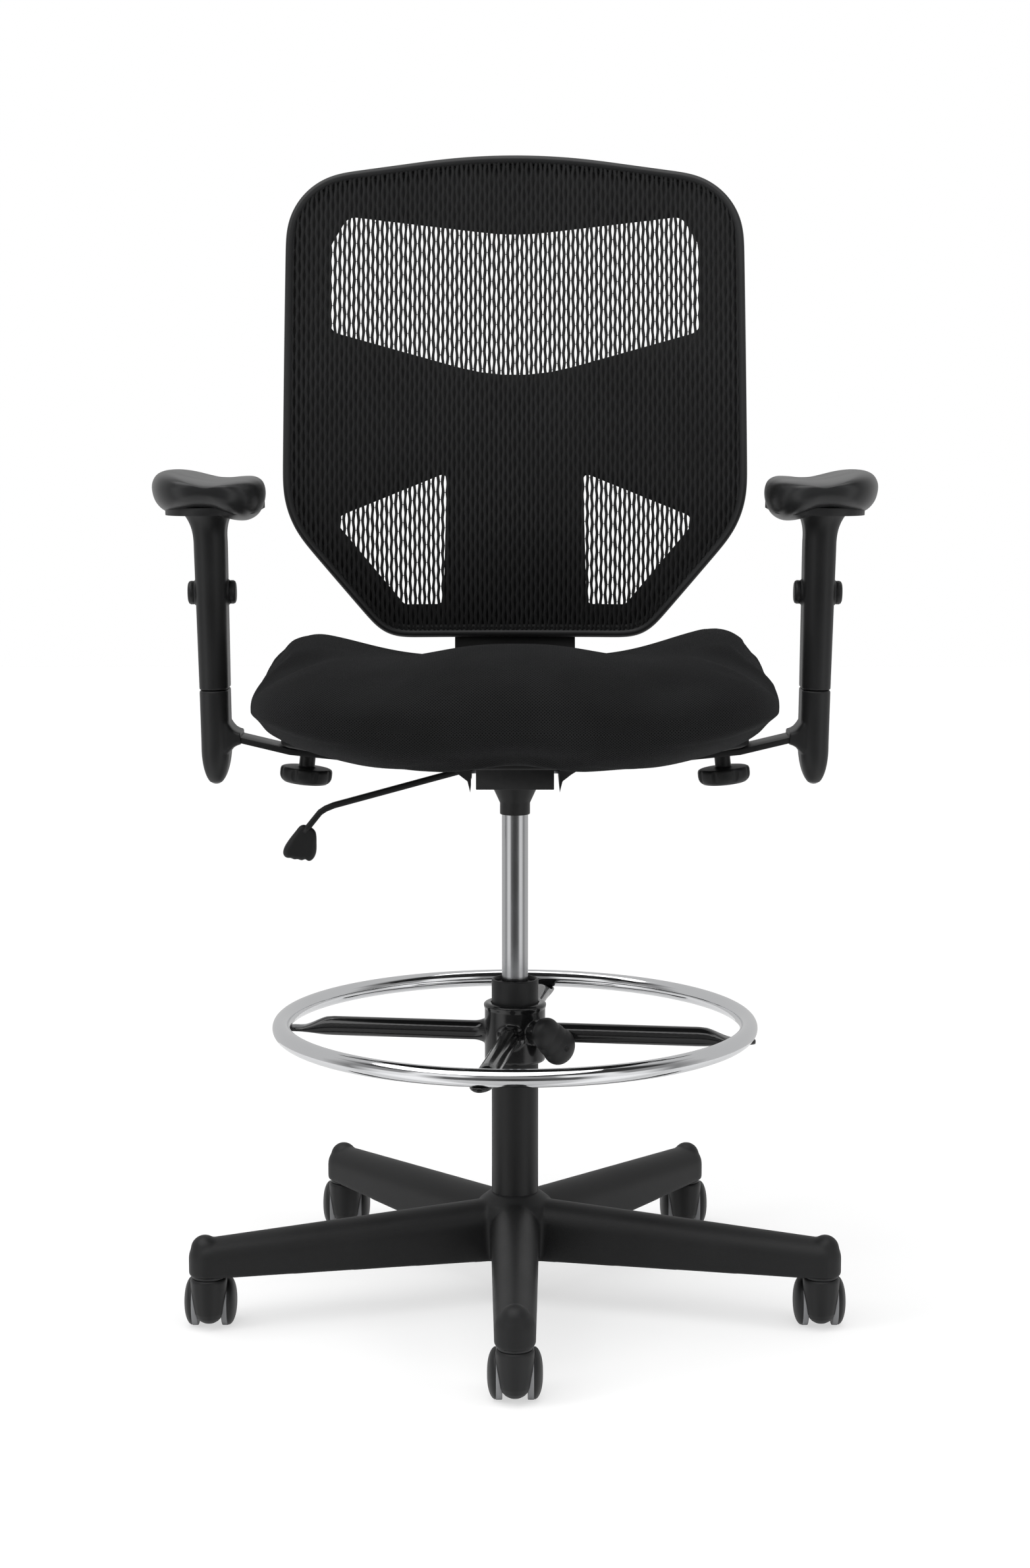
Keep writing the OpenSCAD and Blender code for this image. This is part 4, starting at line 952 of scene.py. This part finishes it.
def make_stage():
    """A pale floor; mirrors see only its near part, and beyond that the studio round the camera."""
    size = 14
    cells = 8
    row = cells + 1
    verts = [((x / cells - 0.5) * size, (y / cells - 0.5) * size, 0) for y in range(row) for x in range(row)]
    faces = [(y * row + x, y * row + x + 1, (y + 1) * row + x + 1, (y + 1) * row + x)
             for y in range(cells) for x in range(cells)]
    floor = skin("floor", verts, faces, 1)
    s = Shader("pale_floor", Roughness=0.9, Specular_IOR_Level=0.1)
    s.set(Base_Color=s.mix(s.noise(2, 3), (0.93, 0.93, 0.93, 1), (0.95, 0.95, 0.95, 1)))
    reach = s.node("ShaderNodeVectorMath", {0: s.place}, operation="LENGTH").outputs["Value"]
    far = s.math("GREATER_THAN", reach, 1.0)
    mirror = s.node("ShaderNodeLightPath").outputs["Is Glossy Ray"]
    clear = s.node("ShaderNodeBsdfTransparent").outputs[0]
    dim = s.node("ShaderNodeMixShader", {0: 0.55, 1: s.shader.outputs[0], 2: clear})
    seen = s.node("ShaderNodeMixShader", {0: far, 1: dim.outputs[0], 2: clear})
    glow = s.node("ShaderNodeEmission", {"Color": (0.99, 0.99, 0.99, 1)})
    direct = s.math("MULTIPLY", s.node("ShaderNodeLightPath").outputs["Is Camera Ray"], 0.6)
    lit = s.node("ShaderNodeMixShader", {0: direct, 1: s.shader.outputs[0], 2: glow.outputs[0]})
    last = s.node("ShaderNodeMixShader", {0: mirror, 1: lit.outputs[0], 2: seen.outputs[0]})
    s.tree.links.new(last.outputs[0], s.tree.nodes["Material Output"].inputs["Surface"])
    floor.data.materials.append(s.material)


def ramp(tree, value, stops):
    """A value looked up between [position, level] stops."""
    made = tree.nodes.new("ShaderNodeValToRGB")
    tree.links.new(value, made.inputs[0])
    points = made.color_ramp.elements
    for i, (place, level) in enumerate(stops):
        point = points[i] if i < 2 else points.new(place)
        point.position, point.color = place, (level, level, level, 1)
    return made.outputs["Color"]


def make_studio():
    """White to the camera, even light on matt surfaces, and soft boxes between dark flats for the chrome."""
    world = bpy.data.worlds.new("studio")
    SCENE.world = world
    world.use_nodes = True
    tree = world.node_tree

    def node(kind, inputs=(), **settings):
        made = tree.nodes.new(kind)
        for key, value in settings.items():
            setattr(made, key, value)
        for key, value in dict(inputs).items():
            if isinstance(value, bpy.types.NodeSocket):
                tree.links.new(value, made.inputs[key])
            else:
                made.inputs[key].default_value = value
        return made

    def blend(factor, a, b):
        return node("ShaderNodeMix", {0: factor, 6: a, 7: b}, data_type="RGBA").outputs[2]

    way = node("ShaderNodeSeparateXYZ", {0: node("ShaderNodeTexCoord").outputs["Generated"]})
    behind = node("ShaderNodeMath", {0: way.outputs["Y"], 1: -1.0}, operation="MULTIPLY").outputs[0]
    turn = node("ShaderNodeMath", {0: way.outputs["X"], 1: behind}, operation="ARCTAN2").outputs[0]
    turn = node("ShaderNodeMapRange", {"Value": turn, "From Min": -math.pi, "From Max": math.pi}).outputs[0]
    rise = node("ShaderNodeMapRange", {"Value": way.outputs["Z"], "From Min": -1.0, "From Max": 1.0}).outputs[0]
    low = ramp(tree, turn, [(0, 0.58), (0.22, 0.58), (0.27, 0.25), (0.32, 0.9), (0.37, 1.0), (0.41, 0.14),
                            (0.5, 0.06), (0.58, 0.12), (0.62, 0.95), (0.67, 0.9), (0.72, 0.25), (0.78, 0.58),
                            (1, 0.58)])
    boxes = ramp(tree, turn, [(0, 0.58), (0.23, 0.58), (0.27, 0.3), (0.35, 0.3), (0.37, 1.0), (0.43, 1.0),
                              (0.45, 0.3), (0.55, 0.3), (0.57, 1.0), (0.63, 1.0), (0.65, 0.3), (0.73, 0.3),
                              (0.77, 0.58), (1, 0.58)])
    above = ramp(tree, turn, [(0, 0.58), (0.2, 0.58), (0.27, 0.04), (0.73, 0.04), (0.8, 0.58), (1, 0.58)])
    over_low = ramp(tree, rise, [(0, 0), (0.55, 0), (0.59, 1), (1, 1)])
    over_boxes = ramp(tree, rise, [(0, 0), (0.75, 0), (0.79, 1), (1, 1)])
    mirror = blend(over_boxes, blend(over_low, low, boxes), above)
    path = node("ShaderNodeLightPath")
    matt = blend(path.outputs["Is Glossy Ray"], (0.42, 0.42, 0.42, 1), mirror)
    seen = blend(path.outputs["Is Camera Ray"], matt, (1, 1, 1, 1))
    tree.links.new(seen, tree.nodes["Background"].inputs["Color"])


def area_light(name, place, target, size, power):
    data = bpy.data.lights.new(name, "AREA")
    data.shape, data.size, data.size_y, data.energy = "RECTANGLE", size[0], size[1], power
    ob = bpy.data.objects.new(name, data)
    SCENE.collection.objects.link(ob)
    ob.visible_glossy = False
    ob.location = place
    ob.rotation_euler = (Vector(target) - Vector(place)).to_track_quat("-Z", "Y").to_euler()


def make_lights():
    sun = bpy.data.lights.new("sky_softbox", "SUN")
    sun.energy, sun.angle = 2.4, math.radians(70)
    ob = bpy.data.objects.new("sky_softbox", sun)
    SCENE.collection.objects.link(ob)
    ob.rotation_euler = (math.radians(14), math.radians(-10), 0)
    area_light("left_softbox", (-2.6, -1.6, 1.5), (0, 0, 0.7), (0.9, 2.2), 40)
    area_light("right_softbox", (2.6, -1.2, 1.5), (0, 0, 0.7), (0.7, 2.2), 28)


def make_camera():
    data = bpy.data.cameras.new("camera")
    data.lens, data.sensor_width = 69.4, 36
    data.dof.use_dof = False
    ob = bpy.data.objects.new("camera", data)
    SCENE.collection.objects.link(ob)
    ob.location = (0, -3.175, 1.002)
    ob.rotation_euler = (math.radians(82.16), 0, 0)
    SCENE.camera = ob


make_camera()
make_stage()
make_studio()
make_lights()
make_base()
make_column()
make_casters()
make_footring()
make_collar()
make_ring_knob()
make_lever()
make_cushion()
make_pan()
make_arms()
make_back_frame()
net = make_net()

for name in ("mechanism_housing", "seat_plate", "left_arm_bar", "right_arm_bar", "left_arm_post", "right_arm_post"):
    soften_node(name, STEEL_BLACK)
for name in ("back_shell", "back_upright"):
    soften_node(name, BACK_BLACK, 1.2)
for name in ("left_pad_plate", "right_pad_plate"):
    soften_node(name, ARM_BLACK, 1.5)
soften_node("column_bush", BUSH, 0.5)
# The caster stems carry the near-black painted shade for the gap under each leg.
soften_node("caster_stems", STEM_SHADE_BLACK, 0.4)
for name in ["thrust_bearing", "piston_rod", "tilt_pin", "seat_screws"]:
    soften_node(name, ZINC, 0.4)
for n in range(1, LEGS + 1):
    soften_node(f"caster_{n}_axle", ZINC, 0.4)

SCENE.view_settings.view_transform = "Standard"
